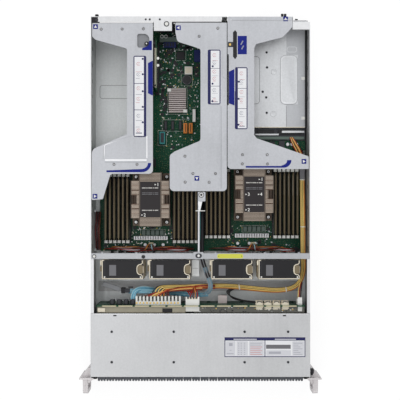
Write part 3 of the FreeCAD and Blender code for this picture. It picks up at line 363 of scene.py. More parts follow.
def inEdit(thing, mode="FACE"):  # edit mode with nothing chosen
    choose(thing)
    bpy.ops.object.mode_set(mode="EDIT")
    bpy.ops.mesh.select_mode(type=mode)
    bpy.ops.mesh.select_all(action="DESELECT")


def pickFaces(thing, test):  # chooses faces by their middle (mm) and normal, then opens edit mode
    inEdit(thing)
    bpy.ops.object.mode_set(mode="OBJECT")
    for face in thing.data.polygons:
        face.select = bool(test(face.center / mm, face.normal))
    bpy.ops.object.mode_set(mode="EDIT")


def slotOf(thing, look):  # the number of the look's slot, added where it is missing
    material = finishes[look]
    names = [slot.material for slot in thing.material_slots]
    if material not in names:
        thing.data.materials.append(material)
        names.append(material)
    return names.index(material)


def smooth(thing, angle=0.7):
    choose(thing)
    bpy.ops.object.shade_smooth_by_angle(angle=angle)
    return thing


def joined(things, name):
    choose(*things)
    if len(things) > 1:
        bpy.ops.object.join()
    thing = bpy.context.object
    thing.name = name
    thing.data.name = name
    return settle(thing)


def copied(thing, place, turn=0.0):  # its own mesh, turned about Z and moved by a step in mm
    twin = thing.copy()
    twin.data = thing.data.copy()
    twin.data.transform(Matrix.Translation(Vector(place) * mm) @ Matrix.Rotation(turn, 4, "Z"))
    bpy.context.scene.collection.objects.link(twin)
    return twin


def ride(thing, body, nodes=()):
    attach(thing, body)
    if nodes:
        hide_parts(*nodes)
    return thing


def nodeCopy(node, name):  # a merged copy of a CAD node, to be finished as its own piece
    source = bpy.data.objects[node]
    clear()
    twin = source.copy()
    twin.data = source.data.copy()
    bpy.context.scene.collection.objects.link(twin)
    twin.parent = None
    twin.name = name
    inEdit(twin, "VERT")
    bpy.ops.mesh.select_all(action="SELECT")
    bpy.ops.mesh.remove_doubles(threshold=0.00001)
    bpy.ops.mesh.tris_convert_to_quads()
    bpy.ops.mesh.dissolve_limited(angle_limit=0.01)
    bpy.ops.object.mode_set(mode="OBJECT")
    bpy.ops.mesh.customdata_custom_splitnormals_clear()
    bpy.ops.object.shade_flat()
    return twin


def nodeBox(node):
    low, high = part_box(node)
    return [value / mm for value in low], [value / mm for value in high]


def dressNode(node, *looks):  # a CAD node whose own shape stays
    thing = bpy.data.objects[node]
    thing.data.materials.clear()
    for look in looks:
        thing.data.materials.append(finishes[look])
    return thing


plainNodes = {
    "chassis_tray": "steel", "drive_cage": "steel", "front_cover": "coverSteel", "fan_bar": "barSteel",
    "centre_strut": "bracketSteel", "psu_cage": "supplyCase", "ear_left": "cast", "ear_right": "cast",
    "power_button": "white", "id_button": "blue", "backplane": "pcb", "motherboard": "pcb",
    "screws": "plated", "backplane_connectors": "ivory", "board_parts": "chip",
    "memory_sockets": "slate", "memory_modules": "cardPcb", "heatsink_left": "fins",
    "heatsink_right": "fins", "riser_left": "bracketSteel", "riser_middle": "bracketSteel",
    "riser_right": "bracketSteel", "power_harness": "yellowWire", "data_cable": "blueWire",
}
for node, look in plainNodes.items():
    dressNode(node, look)
for number in range(1, 5):
    dressNode(f"fan_{number}", "black")
    dressNode(f"rotor_{number}", "slate")
for number in (1, 2):
    dressNode(f"psu_{number}", "supplyCase")
    dressNode(f"psu_handle_{number}", "black")
for number in range(1, 25):
    dressNode(f"drive_{number:02d}", "bezel")
print("CAD nodes dressed")


def painted(node, name, pick, body="chassis", bevel=0.0):  # a copy of a CAD node with a look for each face
    twin = nodeCopy(node, name)
    twin.data.materials.clear()
    looks = [pick(face.center / mm, face.normal) for face in twin.data.polygons]
    for look in sorted(set(looks)):
        twin.data.materials.append(finishes[look])
    for face, look in zip(twin.data.polygons, looks):
        face.material_index = slotOf(twin, look)
    if bevel:
        bevelEdges(twin, bevel)
    return ride(twin, body, nodes=(node,))


def plate(low, high, look, bevel=0.3, segments=1):  # a flat piece with softened edges
    return blockPiece(low, high, look, bevel, segments)


def outlined(corners, bottom, thick, look, bevel=0.0):  # a plate of any outline, corners in mm
    clear()
    bpy.ops.mesh.primitive_circle_add(vertices=len(corners), radius=1, fill_type="NGON")
    thing = bpy.context.object
    for vertex, (x, y) in zip(thing.data.vertices, corners):
        vertex.co = (x * mm, y * mm, bottom * mm)
    inEdit(thing)
    bpy.ops.mesh.select_all(action="SELECT")
    bpy.ops.mesh.extrude_region_move(TRANSFORM_OT_translate={"value": (0, 0, thick * mm)})
    bpy.ops.mesh.select_all(action="SELECT")
    bpy.ops.mesh.normals_make_consistent(inside=False)
    bpy.ops.object.mode_set(mode="OBJECT")
    thing.data.materials.append(finishes[look])
    if bevel:
        bevelEdges(thing, bevel)
    return thing


def roundedCorners(x0, x1, y0, y1, radius, steps=4):
    corners = []
    for middleX, middleY, start in ((x1 - radius, y1 - radius, 0), (x0 + radius, y1 - radius, 90),
                                    (x0 + radius, y0 + radius, 180), (x1 - radius, y0 + radius, 270)):
        for step in range(steps + 1):
            angle = math.radians(start + 90 * step / steps)
            corners.append((middleX + radius * math.cos(angle), middleY + radius * math.sin(angle)))
    return corners


def ridge(corners, bottom, height, width, look):  # a low pressed-up outline with a sunk middle
    thing = outlined(corners, bottom, height, look)
    pickFaces(thing, lambda middle, normal: normal.z > 0.5)
    bpy.ops.mesh.inset(thickness=width * 0.5 * mm)
    bpy.ops.mesh.inset(thickness=width * 0.5 * mm)
    bpy.ops.transform.translate(value=(0, 0, -height * 0.85 * mm))
    bpy.ops.object.mode_set(mode="OBJECT")
    return smooth(thing, 1.2)  # a wide angle, so the low slopes shade as one


def strip(path, width, bottom, height, look, bevel=0.0):  # a band of even width along points in mm
    left, right = [], []
    for index, (x, y) in enumerate(path):
        ahead, behind = path[min(index + 1, len(path) - 1)], path[max(index - 1, 0)]
        dx, dy = ahead[0] - behind[0], ahead[1] - behind[1]
        size = math.hypot(dx, dy)
        sideX, sideY = dy / size * width / 2, dx / size * width / 2
        left.append((x - sideX, y + sideY))
        right.append((x + sideX, y - sideY))
    return outlined(left + right[::-1], bottom, height, look, bevel)


def closedStrip(x0, x1, y0, y1, radius, width, bottom, height, look):  # a band round a rounded box
    corners = roundedCorners(x0, x1, y0, y1, radius)
    return strip(corners + corners[:2], width, bottom, height, look)


levels = {"cover": nodeBox("front_cover")[1][2], "bar": nodeBox("fan_bar")[1][2],
          "cage": nodeBox("psu_cage")[1][2], "board": nodeBox("motherboard")[1][2]}
levels["riser"] = levels["cover"] - 1.4
rearInside = nodeBox("psu_cage")[1][1]


screwValues = {"rim": "slate", "cap": 0.66, "slotLong": 1.15, "slotThin": 0.24, "crossBelow": 3.5}


def screwMaster(radius, height, look):  # a pan head on Z = 0; on the smaller ones a thin black cross laid on the top, painted shade for the cross recess
    parts = [roundPiece(radius, (0, 0, 0), height * 0.8, screwValues["rim"], sides=20, bevel=height * 0.3),
             roundPiece(radius * screwValues["cap"], (0, 0, height * 0.7), height * 0.3, look, sides=16,
                        bevel=height * 0.1)]
    # the black cross is painted shade for the recess
    if radius < screwValues["crossBelow"]:
        long, thin = radius * screwValues["slotLong"], radius * screwValues["slotThin"]
        for wide, deep in ((thin, long), (long, thin)):
            parts.append(blockPiece((-wide / 2, -deep / 2, height - 0.02),
                                    (wide / 2, deep / 2, height + 0.03), "black", 0.02))
    return joined(parts, "screwHead")


def screwSet(name, places, radius, height, body, look="plated"):  # one piece for all heads on a plate
    master = screwMaster(radius, height, look)
    heads = [copied(master, (0, 0, 0), random.uniform(0, 1.5)) for place in places]
    for head, place in zip(heads, places):
        head.data.transform(Matrix.Translation(Vector(place) * mm))
    bpy.data.objects.remove(master)
    return ride(smooth(joined(heads, name)), body)


def arrowMark(x, y, z, turn, name, body):  # blue square with a white triangle
    size, thick = 9.5, 0.12
    square = plate((x - size / 2, y - size / 2, z), (x + size / 2, y + size / 2, z + thick), "blue", 0.05)
    reach = size * 0.33
    corners = [(reach, 0), (-reach * 0.7, reach), (-reach * 0.7, -reach)]
    turned = [(x + a * math.cos(turn) - b * math.sin(turn), y + a * math.sin(turn) + b * math.cos(turn))
              for a, b in corners]
    mark = outlined(turned, z + thick, 0.06, "white")
    return ride(joined([square, mark], name), body)


# risers: bracket, card between two x, pull tab, slot cover, screws, guide label and arrow marks, in mm
risers = {
    "riser_left": {
        "card": (-101.0, -86.0), "board": -88.5, "cover": rearInside - 13.2,
        "tab": (-105, -94, 566, 633), "tabLook": "blue",
        "screws": ((-197.6, 694.6), (-155.8, 694.8), (-113.4, 695.4), (-172.0, 425.4), (-126.2, 425.4)),
        "marks": ((-208.8, 699.6, math.pi / 2), (-209.8, 362, 0)),
        "label": (-133.2, -107.8, 480, 641.6), "band": "right",
        "dots": [(-114.8, y) for y in (635.4, 604.8, 571.0, 539.8, 509.2)],
    },
    "riser_middle": {
        "card": (33.0, 48.0), "board": 46.6, "cover": rearInside - 12.4,
        "tab": (43, 53, 594, 666), "tabLook": "bracketSteel",
        "screws": ((-2.4, 680.4), (34.8, 696.4), (-30.8, 441.8), (-15.0, 407.2), (30.2, 407.0),
                   (-30.4, 390.0), (17.4, 389.8)),
        "marks": ((-43.8, 697.4, math.pi), (-7.0, 397.6, -math.pi / 2)),
        "label": (14.6, 40.0, 544.8, 653.8), "band": "left",
        "dots": [(24.6, 620.6), (24.2, 586.0), (23.8, 551.2)],
    },
    "riser_right": {
        "card": (55.5, 70.0), "board": 57.0, "cover": rearInside - 0.4,
        "tab": (56, 70, 565, 639), "tabLook": "bracketSteel",
        "screws": ((83.8, 444.8), (133.0, 444.8), (83.4, 426.4), (133.6, 426.4)),
        "marks": ((169.6, 715.0, math.pi / 2), (206.2, 431.4, 0)),
        "label": (68.6, 93.8, 495.4, 618.8), "band": "left",
        "dots": [(76.6, 590.0), (76.2, 556.0), (75.8, 504.4)],
    },
}
riserTop = levels["riser"]


def riserLook(values, middle, normal):  # tab and screws above the sheet, then card, cover and bracket
    cardLow, cardHigh = values["card"]
    tabLeft, tabRight, tabLow, tabHigh = values["tab"]
    if middle.z > riserTop + 0.1:
        inTab = tabLeft < middle.x < tabRight and tabLow < middle.y < tabHigh
        return values["tabLook"] if inTab else "plated"
    inCard = cardLow - 0.5 < middle.x < cardHigh + 0.5 and middle.z < riserTop - 1.4
    if inCard and middle.y < values["cover"] - 25:
        return "cardPcb" if abs(middle.x - values["board"]) < 1.0 else "black"
    if middle.y > values["cover"] - 2.5 and abs(normal.y) > 0.5 and middle.z < riserTop - 2:
        return "plated"
    return "bracketSteel"


for node, values in risers.items():
    painted(node, node + "Bracket", lambda middle, normal, values=values: riserLook(values, middle, normal),
            node)
    screwSet(node + "Screws", [(x, y, riserTop + 0.2) for x, y in values["screws"]], 2.8, 1.1, node)
    for index, (x, y, turn) in enumerate(values["marks"], 1):
        arrowMark(x, y, riserTop + 0.02, turn, f"{node}Mark{index}", node)
print("risers built")


def arc(x, y, radius, start, end, steps=8):
    return [(x + radius * math.cos(math.radians(start + (end - start) * step / steps)),
             y + radius * math.sin(math.radians(start + (end - start) * step / steps)))
            for step in range(steps + 1)]


guide = {"frame": 0.1, "mark": 0.04, "margin": 2.0,
         "bands": {"left": (6.0, 2.0), "right": (2.0, 4.8)},  # margins at the left and the right
         "reach": {-1: 0.0, 0: 0.45, 1: 0.2},  # how far a line stays off the right edge, as a share
         "lines": ((0.04, 0.055, 1, "greyPrint"), (0.12, 0.125, 0, "greyPrint"),
                   (0.20, 0.205, 1, "greyPrint"), (0.33, 0.337, -1, "navy"), (0.42, 0.425, 0, "rosePrint"),
                   (0.52, 0.525, 1, "greyPrint"), (0.655, 0.662, -1, "navy"),
                   (0.72, 0.725, 0, "greyPrint"), (0.80, 0.805, 1, "rosePrint")),
         "rings": ((0.08, "rosePrint"), (0.26, "greyPrint"), (0.47, "rosePrint"), (0.6, "rosePrint"),
                   (0.77, "greyPrint"), (0.9, "rosePrint"))}


def guideLabel(name, values, body, z):  # navy frame, white field, lines, rings and screw dots
    x0, x1, y0, y1 = values["label"]
    leftMargin, rightMargin = guide["bands"][values["band"]]
    left, right, deep = x0 + leftMargin, x1 - rightMargin, y1 - y0
    paper = z + guide["frame"]
    ink = z + 0.16  # on the field
    parts = [outlined(roundedCorners(x0, x1, y0, y1, 3), z, guide["frame"], "navy"),
             plate((left, y0 + guide["margin"], paper), (right, y1 - guide["margin"], ink), "label", 0.03)]
    for low, high, side, look in guide["lines"]:
        end = right - guide["reach"][side] * (right - left)
        start = left + (2.5 if side >= 0 else 0)
        parts.append(plate((start, y0 + deep * low, ink), (end, y0 + deep * high, z + 0.19), look, 0.01))
    for share, look in guide["rings"]:
        x, y = (left + right) / 2 - 1.5, y0 + deep * share
        parts.append(strip(arc(x, y, 3.4, 20, 340, 14), 0.7, ink, guide["mark"], look))
        parts.append(strip([(x - 1.6, y - 2.2), (x + 0.4, y), (x - 1.2, y + 2.2)], 0.6, ink, guide["mark"],
                           look))
    parts += [roundPiece(2.0, (x, y, z), 0.45, "navy", sides=14, bevel=0.15) for x, y in values["dots"]]
    return ride(joined(parts, name), body)


for node, values in risers.items():
    guideLabel(node.replace("riser_", "") + "GuideLabel", values, node, riserTop + 0.02)

pressings = {
    "leftStep": ("riser_left", [(-192, 436), (-107.6, 436), (-107.6, 478), (-139, 481.5), (-189, 464)], 0.4),
    "leftBend": ("riser_left", [(-190, 430), (-106, 430), (-106, 432.5), (-190, 432.5)], 0.16),
    "middleBend": ("riser_middle", [(38.6, 376), (40.8, 376), (40.8, 542), (38.6, 542)], 0.16),
    "rightBend": ("riser_right", [(62, 712.4), (181, 712.4), (181, 713.6), (62, 713.6)], 0.12),
}
for name, (body, corners, bevel) in pressings.items():
    ride(outlined(corners, riserTop - 0.02, 0.5, "bracketSteel", bevel), body).name = name

blueStrips = {
    "leftStrip": ("riser_left", [(-187, 409.8), (-116.4, 409.8)] + arc(-116.4, 428.2, 18.4, -90, 0)[1:]
                  + arc(-116.4, 428.2, 12.0, 0, -90) + [(-187, 413.4)]),
    "rightStrip": ("riser_right", [(90.4, 418.8), (166, 418.8)] + arc(166, 434, 15.2, -90, 0)[1:]
                   + arc(163, 434, 9.8, 0, -70) + [(160, 422.2), (90.4, 422.2)]),
    "leftCorner": ("riser_left", [(-116, 652.8), (-96.6, 652.8), (-96.6, 671.6), (-101.6, 671.6),
                                  (-105.6, 660.4), (-116, 656.6)]),
    "rightGrip": ("riser_right", [(56.8, 547), (67.6, 543), (67.6, 615), (56.8, 610)]),
    "rightTag": ("riser_right", [(74.2, 644.6), (92.4, 644.6), (92.4, 681.2), (74.2, 681.2)]),
}
for name, (body, corners) in blueStrips.items():
    thick = 1.0 if name == "rightGrip" else 0.15  # the grip covers the raised tab under it
    ride(outlined(corners, riserTop + 0.01, thick, "blue"), body).name = name
tagMarks = [outlined(corners, riserTop + 0.16, 0.05, "greyPrint")
            for corners in ([(81, 655), (83, 654), (87, 661.4), (85, 662.4)],
                            [(79.6, 664), (81.6, 663), (85.6, 671), (83.6, 672)])]
ride(joined(tagMarks, "rightTagMark"), "riser_right")

latch = [outlined([(65, 640), (69, 634.8), (72.8, 640), (72.8, 688), (69, 693), (65, 688)],
                  riserTop + 0.01, 0.3, "black", 0.1),
         plate((54.6, 658.8, riserTop), (65.2, 669.2, riserTop + 0.25), "slate", 0.1),
         plate((57, 661.8, riserTop + 0.25), (61, 666.2, riserTop + 0.8), "gold", 0.2)]
ride(joined(latch, "rightCardLatch"), "riser_right")
edgeSlot = plate((54.1, 543.6, riserTop), (56.4, 644.6, riserTop + 0.2), "black", 0.1)
ride(joined([edgeSlot], "rightEdgeSlot"), "riser_right")
knob = [roundPiece(4.4, (-107, 665.4, riserTop), 0.9, "black", sides=20, bevel=0.3),
        roundPiece(1.5, (-107.4, 666, riserTop + 0.9), 0.3, "plated", sides=12, bevel=0.1)]
ride(smooth(joined(knob, "leftKnob")), "riser_left")
rearKnobs = [roundPiece(2.6, (x, 720.0, 82.4), 5.6, "black", "Y", 16, 0.5) for x in (163.2, 169.0)]
ride(smooth(joined(rearKnobs, "rearThumbScrews")), "riser_right")
print("riser labels and marks built")

coverTop = levels["cover"]
cageTop = levels["cage"] - 0.6
coverLabel = {"box": (48.0, 208.8, 42.2, 81.4), "split": 128.4, "edge": 1.6, "head": 6.4,
              "sheet": coverTop + 0.12, "field": coverTop + 0.18, "ink": coverTop + 0.21}
x0, x1, y0, y1 = coverLabel["box"]
sheet = plate((x0, y0, coverTop), (x1, y1, coverLabel["sheet"]), "navy", 0.03)
fields = [plate((left, y0 + coverLabel["edge"], coverLabel["sheet"]),
                (right, y1 - coverLabel["head"], coverLabel["field"]), "label")
          for left, right in ((x0 + coverLabel["edge"], coverLabel["split"] - 0.8),
                              (coverLabel["split"] + 0.8, x1 - coverLabel["edge"]))]
details = [((low, 45), (high, 73.6), "panelPrint") for low, high in ((50.6, 69.6), (72, 94.4), (97, 126))]
details += [((131, 45), (180, 55.6), "panelPrint"), ((183, 45), (206, 73.6), "panelPrint"),
            ((130.6, 58.6), (179.6, 66.6), "sticker"), ((136, 48.4), (160, 53), "finePrint"),
            ((66, 76.6), (112, 78.4), "panelPrint"), ((148, 76.6), (190, 78.4), "panelPrint"),
            ((57, 64), (64, 70), "finePrint"), ((52, 48), (66, 49.6), "finePrint"),
            ((58, 55), (62, 56), "finePrint")]
for row in range(7):
    level = 46.8 + row * 3.7
    details += [((185, level), (203 - 4 * (row % 3), level + 1.2), "finePrint"),
                ((99, level), (123 - 3 * (row % 2), level + 1.2), "rosePrint" if row < 5 else "finePrint")]
    details += [((column, level), (column + 2.6, level + 1.4), "finePrint") for column in (75, 80, 86.5)]
prints = []
for low, high, look in details:
    base = coverLabel["field" if look == "panelPrint" and low[1] < 74 else "ink"]
    prints.append(plate((*low, base), (*high, base + 0.03), look, 0.01))
ride(joined([sheet] + fields + prints, "coverLabel"), "chassis")

coverScrews = [(x, y, coverTop) for x in (-176.5, -53.0, 88.0, 174.5) for y in (31.8, 92.4)]
cageScrews = [(134.8, 655.0), (135.7, 624.5), (126.8, 575.0), (134.0, 563.4), (135.0, 532.0)]
heads = screwSet("coverScrews", coverScrews, 2.6, 0.6, "chassis", "slate")
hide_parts("screws")
screwSet("cageScrews", [(x, y, cageTop) for x, y in cageScrews], 2.4, 1.0, "chassis", "slate")
screwSet("lipScrews", [(x, 714.0, coverTop - 1.2) for x in (-108.8, -100.8, -80.8, 47.0)], 2.0, 0.8,
         "chassis", "slate")
screwSet("tabScrew", [(-67.4, 705.0, coverTop - 1.2)], 5.4, 1.2, "chassis", "white")
screwSet("barScrew", [(-211.4, 242.3, levels["bar"])], 4.0, 1.2, "chassis", "white")
print("cover label and screws built")


# supply cage: the long pressing at the right, small pressings, slots and pads
ride(ridge(roundedCorners(163, 197.5, 549.5, 649, 10), cageTop + 0.55, 0.6, 2.4, "supplyCase"), "chassis")
cageMarks = [ridge(corners, cageTop - 0.05, 0.5, 1.6, "supplyCase")
             for corners in (roundedCorners(145, 154, 611, 620, 2), arc(148.6, 529.4, 5.5, 0, 345, 15),
                             roundedCorners(176, 197, 655, 667, 5))]
cageMarks += [plate((x0, y0, cageTop - 0.02), (x1, y1, cageTop + tall), look, bevel)
              for x0, x1, y0, y1, tall, look, bevel in ((174.6, 175.3, 503, 546, 0.12, "slate", 0.1),
                                                        (204, 212, 598, 606, 0.8, "supplyCase", 0.5),
                                                        (204, 212, 517, 525, 0.8, "supplyCase", 0.5),
                                                        (105.2, 216.8, 501.9, 503.4, 0.25, "cream", 0.1))]
ride(joined(cageMarks, "cageMarks"), "chassis")

supplyBoard = [plate((110, 476, 35.8), (214, 500, 37.4), "slate", 0.2),
               plate((112, 478, 37.4), (212, 484, 39.6), "coil", 0.4),
               plate((116, 488, 37.4), (150, 497, 40.4), "black", 0.4),
               plate((158, 488, 37.4), (206, 497, 40.4), "black", 0.4)]
ride(joined(supplyBoard, "supplyBoard"), "chassis")
print("supply cage marks built")

for side in ("left", "right"):
    painted("ear_" + side, side + "Ear", lambda middle, normal: "cast", "chassis", 0.5)

fans = {"middles": (-155.1, -60.7, 63.1, 157.5), "half": 40.1, "front": 198.2, "rear": 233.5, "foot": 2.9,
        "gripMiddle": 215.8, "gripHalf": 7.9, "gripIn": 29.1, "gripLow": 73.6}
for number, middle in enumerate(fans["middles"], 1):
    def fanFace(place, normal, middle=middle):  # cream outside and in the finger notch, black within
        across = place.x - middle
        outside = (abs(across) > fans["half"] or not fans["front"] <= place.y <= fans["rear"]
                   or place.z < fans["foot"])
        inGrip = (across > fans["gripIn"] and abs(place.y - fans["gripMiddle"]) < fans["gripHalf"]
                  and place.z > fans["gripLow"])
        return "cream" if outside or inGrip else "black"

    body = f"fan_{number}"
    top = nodeBox(body)[1][2]
    painted(body, f"fanHousing{number}", fanFace, body)
    extras = [plate((middle - 38.4, 198.6, top - 0.02), (middle - 34.4, 233, top + 0.15), "chip", 0.1),
              plate((middle - 26.6, 203.6, top - 0.02), (middle - 13, 225, top + 0.12), "sticker", 0.05),
              plate((middle - 28.5, 199.0, top - 0.05), (middle + 22, 232.6, top + 0.05), "fanTop", 0.5)]
    extras += [roundPiece(1.7, (middle + side * 36, 200.8, top), 0.9, "white", sides=12, bevel=0.3)
               for side in (-1, 1)]
    extras += [plate((middle - 44.6, 224.5, top - 6), (middle - 41.9, 234.0, top), "cream", 0.4),
               plate((middle - 41.6, 233.2, top - 0.3), (middle - 36.6, 235.0, top + 0.9), "cream", 0.3)]
    ride(smooth(joined(extras, f"fanTrim{number}"), 0.5), body)
print("fans built")

barTop = levels["bar"]
barLabel = [outlined(roundedCorners(33.6, 85.0, 238.2, 247.2, 3), barTop, 0.15, "limeLabel")]
barLabel += [roundPiece(0.9, (x, 242.7, barTop + 0.15), 0.1, "slate", sides=10) for x in (36.6, 82.0)]
ride(joined(barLabel, "barLabel"), "chassis")
joint = [outlined(roundedCorners(-14.5, 6.5, 236.9, 251, 2.5), barTop, 0.8, "barSteel", 0.2),
         outlined(arc(-5.5, 243.5, 4.6, 90, 270) + arc(-1.5, 243.5, 4.6, -90, 90), barTop + 0.8, 0.25,
                  "slate", 0.1),
         roundPiece(2.6, (-3.5, 243.5, barTop + 1.0), 0.5, "plated", sides=14, bevel=0.2)]
ride(smooth(joined(joint, "barJoint")), "chassis")
barKnob = [roundPiece(3.6, (-113.6, 241.4, barTop), 1.6, "black", sides=18, bevel=0.5),
           roundPiece(1.2, (-113.6, 241.4, barTop + 1.6), 0.2, "slate", sides=10)]
ride(smooth(joined(barKnob, "barKnob")), "chassis")
hooks = [plate((x - 2, 246.5, barTop - 0.1), (x + 2, 250.6, barTop + 0.5), "barSteel", 0.3)
         for x in (-196, -128, 30, 128, 196)]
ride(joined(hooks, "barHooks"), "chassis")
print("cross bar built")


def lookWithin(table, otherwise):  # look by the first range that holds the face: x, y, lowest z
    def pick(middle, normal):
        for x0, x1, y0, y1, z, look in table:
            if x0 <= middle.x <= x1 and y0 <= middle.y <= y1 and middle.z >= z:
                return look
        return otherwise
    return pick


# backplane sockets, in mm: x from and to, y from and to, lowest z, look
socketLooks = [(-184, -129.9, 143, 164, 50, "black"), (-131, -38, 143, 165, 50, "white"),
               (-29, -2, 143, 164, 50, "white"), (35, 55, 143, 165, 20, "sinkGrey"),
               (110, 178, 143, 164, 50, "cream"), (193, 204, 143, 164, 40, "white")]
painted("backplane_connectors", "backplaneSockets", lookWithin(socketLooks, "black"), "chassis", 0.3)
combPins = [plate((-129.2 + step * 6.9, 146.5, 73.9), (-126.0 + step * 6.9, 150, 74.3), "gold", 0.1)
            for step in range(13)]
combPins += [plate((x - 5, 147, 77.9), (x + 5, 152, 78.3), "slate", 0.1)
             for x in (117.9, 134.9, 152.3, 169.5)]
combPins += [plate((x, 146, 71.9), (x + 5.5, 156, 72.4), "slate", 0.2)
             for x in (-179.8, -166, -152.2, -138.4)]
ride(joined(combPins, "socketContacts"), "chassis")
rearTop = nodeBox("backplane")[1][2]
bareEdge = [plate((-196 + step * 32.7, 142.2, rearTop - 0.02), (-168 + step * 32.7, 144.2, rearTop + 0.15),
                  "ivory", 0.05) for step in range(12)]
ride(joined(bareEdge, "backplaneEdge"), "chassis")
print("backplane sockets painted")

# board parts, in mm: x from and to, y from and to, lowest z, look
boardTop = levels["board"]
back = rearInside
partLooks = [(-66, -29, back - 185, back - 134, 9, "sinkGrey"), (-33, -16, back - 105, back - 88, 9, "white"),
             (-50, -32, back - 74, back - 56, 9, "chip"), (-14, 1, back - 79, back - 54, 9, "darkBlue"),
             (-36, -15, back - 227, back - 205, 9, "orange"), (-17, -9, back - 203, back - 176, 9, "white"),
             (-85, -72, back - 249, back - 223, 9, "teal"), (-75, -38, back - 220, back - 200, 9, "black"),
             (-39, -17, back - 126, back - 105, 9, "slate"),
             (-138, -67, 271, 281, 9, "can"), (70, 141, 276, 286, 9, "can"),
             (-122, -75, 281, 293, 9, "coil"), (88, 133, 289, 301, 9, "coil"),
             (-118, -73, 258, 266, 9, "can"), (73, 117, 261, 269, 9, "can"),
             (-133, -35, 251, 257, 9, "chip"), (53, 151, 251, 257, 9, "chip"),
             (202, 213, 396, 431, 9, "sticker"), (-4, 9, 357, 373, 9, "cream"),
             (-129, -91, 423, 441, 9, "chip"), (85, 131, 439, 459, 9, "chip"),
             (19, 61, back - 226, back - 214, 9, "darkBlue"), (133, 201, back - 229, back - 218, 9, "black")]
painted("board_parts", "boardParts", lookWithin(partLooks, "chip"), "chassis", 0.25)

trim = [plate((x - 4, y - 3.4, boardTop + 6), (x + 4, y + 3.4, boardTop + 14.2), "white", 0.8)
        for x, y in ((-64.2, back - 138), (-31.2, back - 181))]
trim += [roundPiece(7.8, (-28, back - 115.8, boardTop + 4), 0.25, "chip", sides=28, bevel=0.1),
         strip(arc(-28, back - 115.8, 9.2, 0, 350, 24), 0.6, boardTop + 4, 0.1, "sticker")]
trim += [plate((-31 + shift, back - 224, boardTop + 11.9), (-29.5 + shift, back - 208, boardTop + 12.2),
               "black", 0.1) for shift in (0, 10)]
trim += [plate((-82, back - 246, boardTop + 11.9), (-75, back - 226, boardTop + 12.2), "slate", 0.2),
         plate((-31, back - 103, boardTop + 8.9), (-18, back - 91, boardTop + 9.2), "cream", 0.2)]
trim += [plate((x - 1.7, back - 218, boardTop + 9.8), (x + 1.7, back - 203, boardTop + 10.2), "slate", 0.1)
         for x in (-71.6, -57.2, -41.5)]
for x0, y0 in ((-121.0, 282.0), (88.7, 290.0)):
    for step in range(5):
        x = x0 + step * 9.4
        trim.append(plate((x + 0.9, y0 + 2, boardTop + 5.95), (x + 6.6, y0 + 8, boardTop + 6.25),
                          "coil", 0.15))
for x0, x1, y0 in ((-137.0, -67.5, 272.0), (71.0, 140.6, 277.0)):
    trim.append(plate((x0 + 0.3, y0 + 0.6, boardTop + 13.95), (x1 - 0.3, y0 + 1.8, boardTop + 14.3),
                      "white", 0.1))
ride(joined(trim, "boardTrim"), "chassis")

# small parts soldered over the open areas of the board: x from and to, y from and to, how many are tried
areas = ((-84, -4, back - 200, back - 6, 520), (-150, -52, 244, 300, 230), (56, 158, 244, 302, 230),
         (-84, 30, 460, 520, 90), (60, 190, 425, 488, 70), (-46, -14, 300, 420, 50), (14, 60, 300, 400, 60),
         (-200, -140, 246, 262, 30), (150, 205, 246, 262, 30))
kept = [(x0 - 0.8, x1 + 0.8, y0 - 0.8, y1 + 0.8) for x0, x1, y0, y1, z, look in partLooks]
smallKinds = (("coil", 0.9, 1.5, 0.7), ("coil", 1.4, 2.0, 0.8), ("paleWire", 0.6, 0.9, 0.5),
              ("can", 0.9, 1.5, 0.7), ("chip", 1.2, 0.8, 0.6), ("cream", 1.3, 0.8, 0.7),
              ("chip", 3.0, 3.0, 1.0), ("can", 1.6, 0.9, 0.8), ("gold", 0.7, 0.7, 0.15),
              ("white", 1.1, 0.6, 0.5), ("chip", 4.2, 2.6, 1.2))  # look, half width, half depth, height
small = []
masters = {}
for x0, x1, y0, y1, count in areas:
    for step in range(count):
        look, wide, deep, tall = random.choice(smallKinds)
        if random.random() < 0.5:
            wide, deep = deep, wide
        x, y = random.uniform(x0, x1), random.uniform(y0, y1)
        if not any(a - wide < x < b + wide and c - deep < y < d + deep for a, b, c, d in kept):
            kind = (look, wide, deep, tall)
            if kind not in masters:
                masters[kind] = blockPiece((-wide, -deep, 0), (wide, deep, tall), look)
            small.append(copied(masters[kind], (x, y, boardTop)))
for master in masters.values():
    bpy.data.objects.remove(master)
ride(joined(small, "smallParts"), "chassis")

# outlines printed round the larger parts
line = 0.4
printed = []
for x0, x1, y0, y1 in ((-68, -27, back - 187, back - 132), (-40, -16, back - 128, back - 103),
                       (-52, -30, back - 76, back - 54), (-78, -35, back - 222, back - 198),
                       (-124, -73, 280, 294), (86, 135, 288, 302), (-88, -70, back - 252, back - 220)):
    for low, high in (((x0, y0), (x1, y0 + line)), ((x0, y1 - line), (x1, y1)),
                      ((x0, y0), (x0 + line, y1)), ((x1 - line, y0), (x1, y1))):
        printed.append(blockPiece((*low, boardTop), (*high, boardTop + 0.06), "white"))
ride(joined(printed, "boardPrint"), "chassis")
print("board parts painted,", len(small), "small ones")

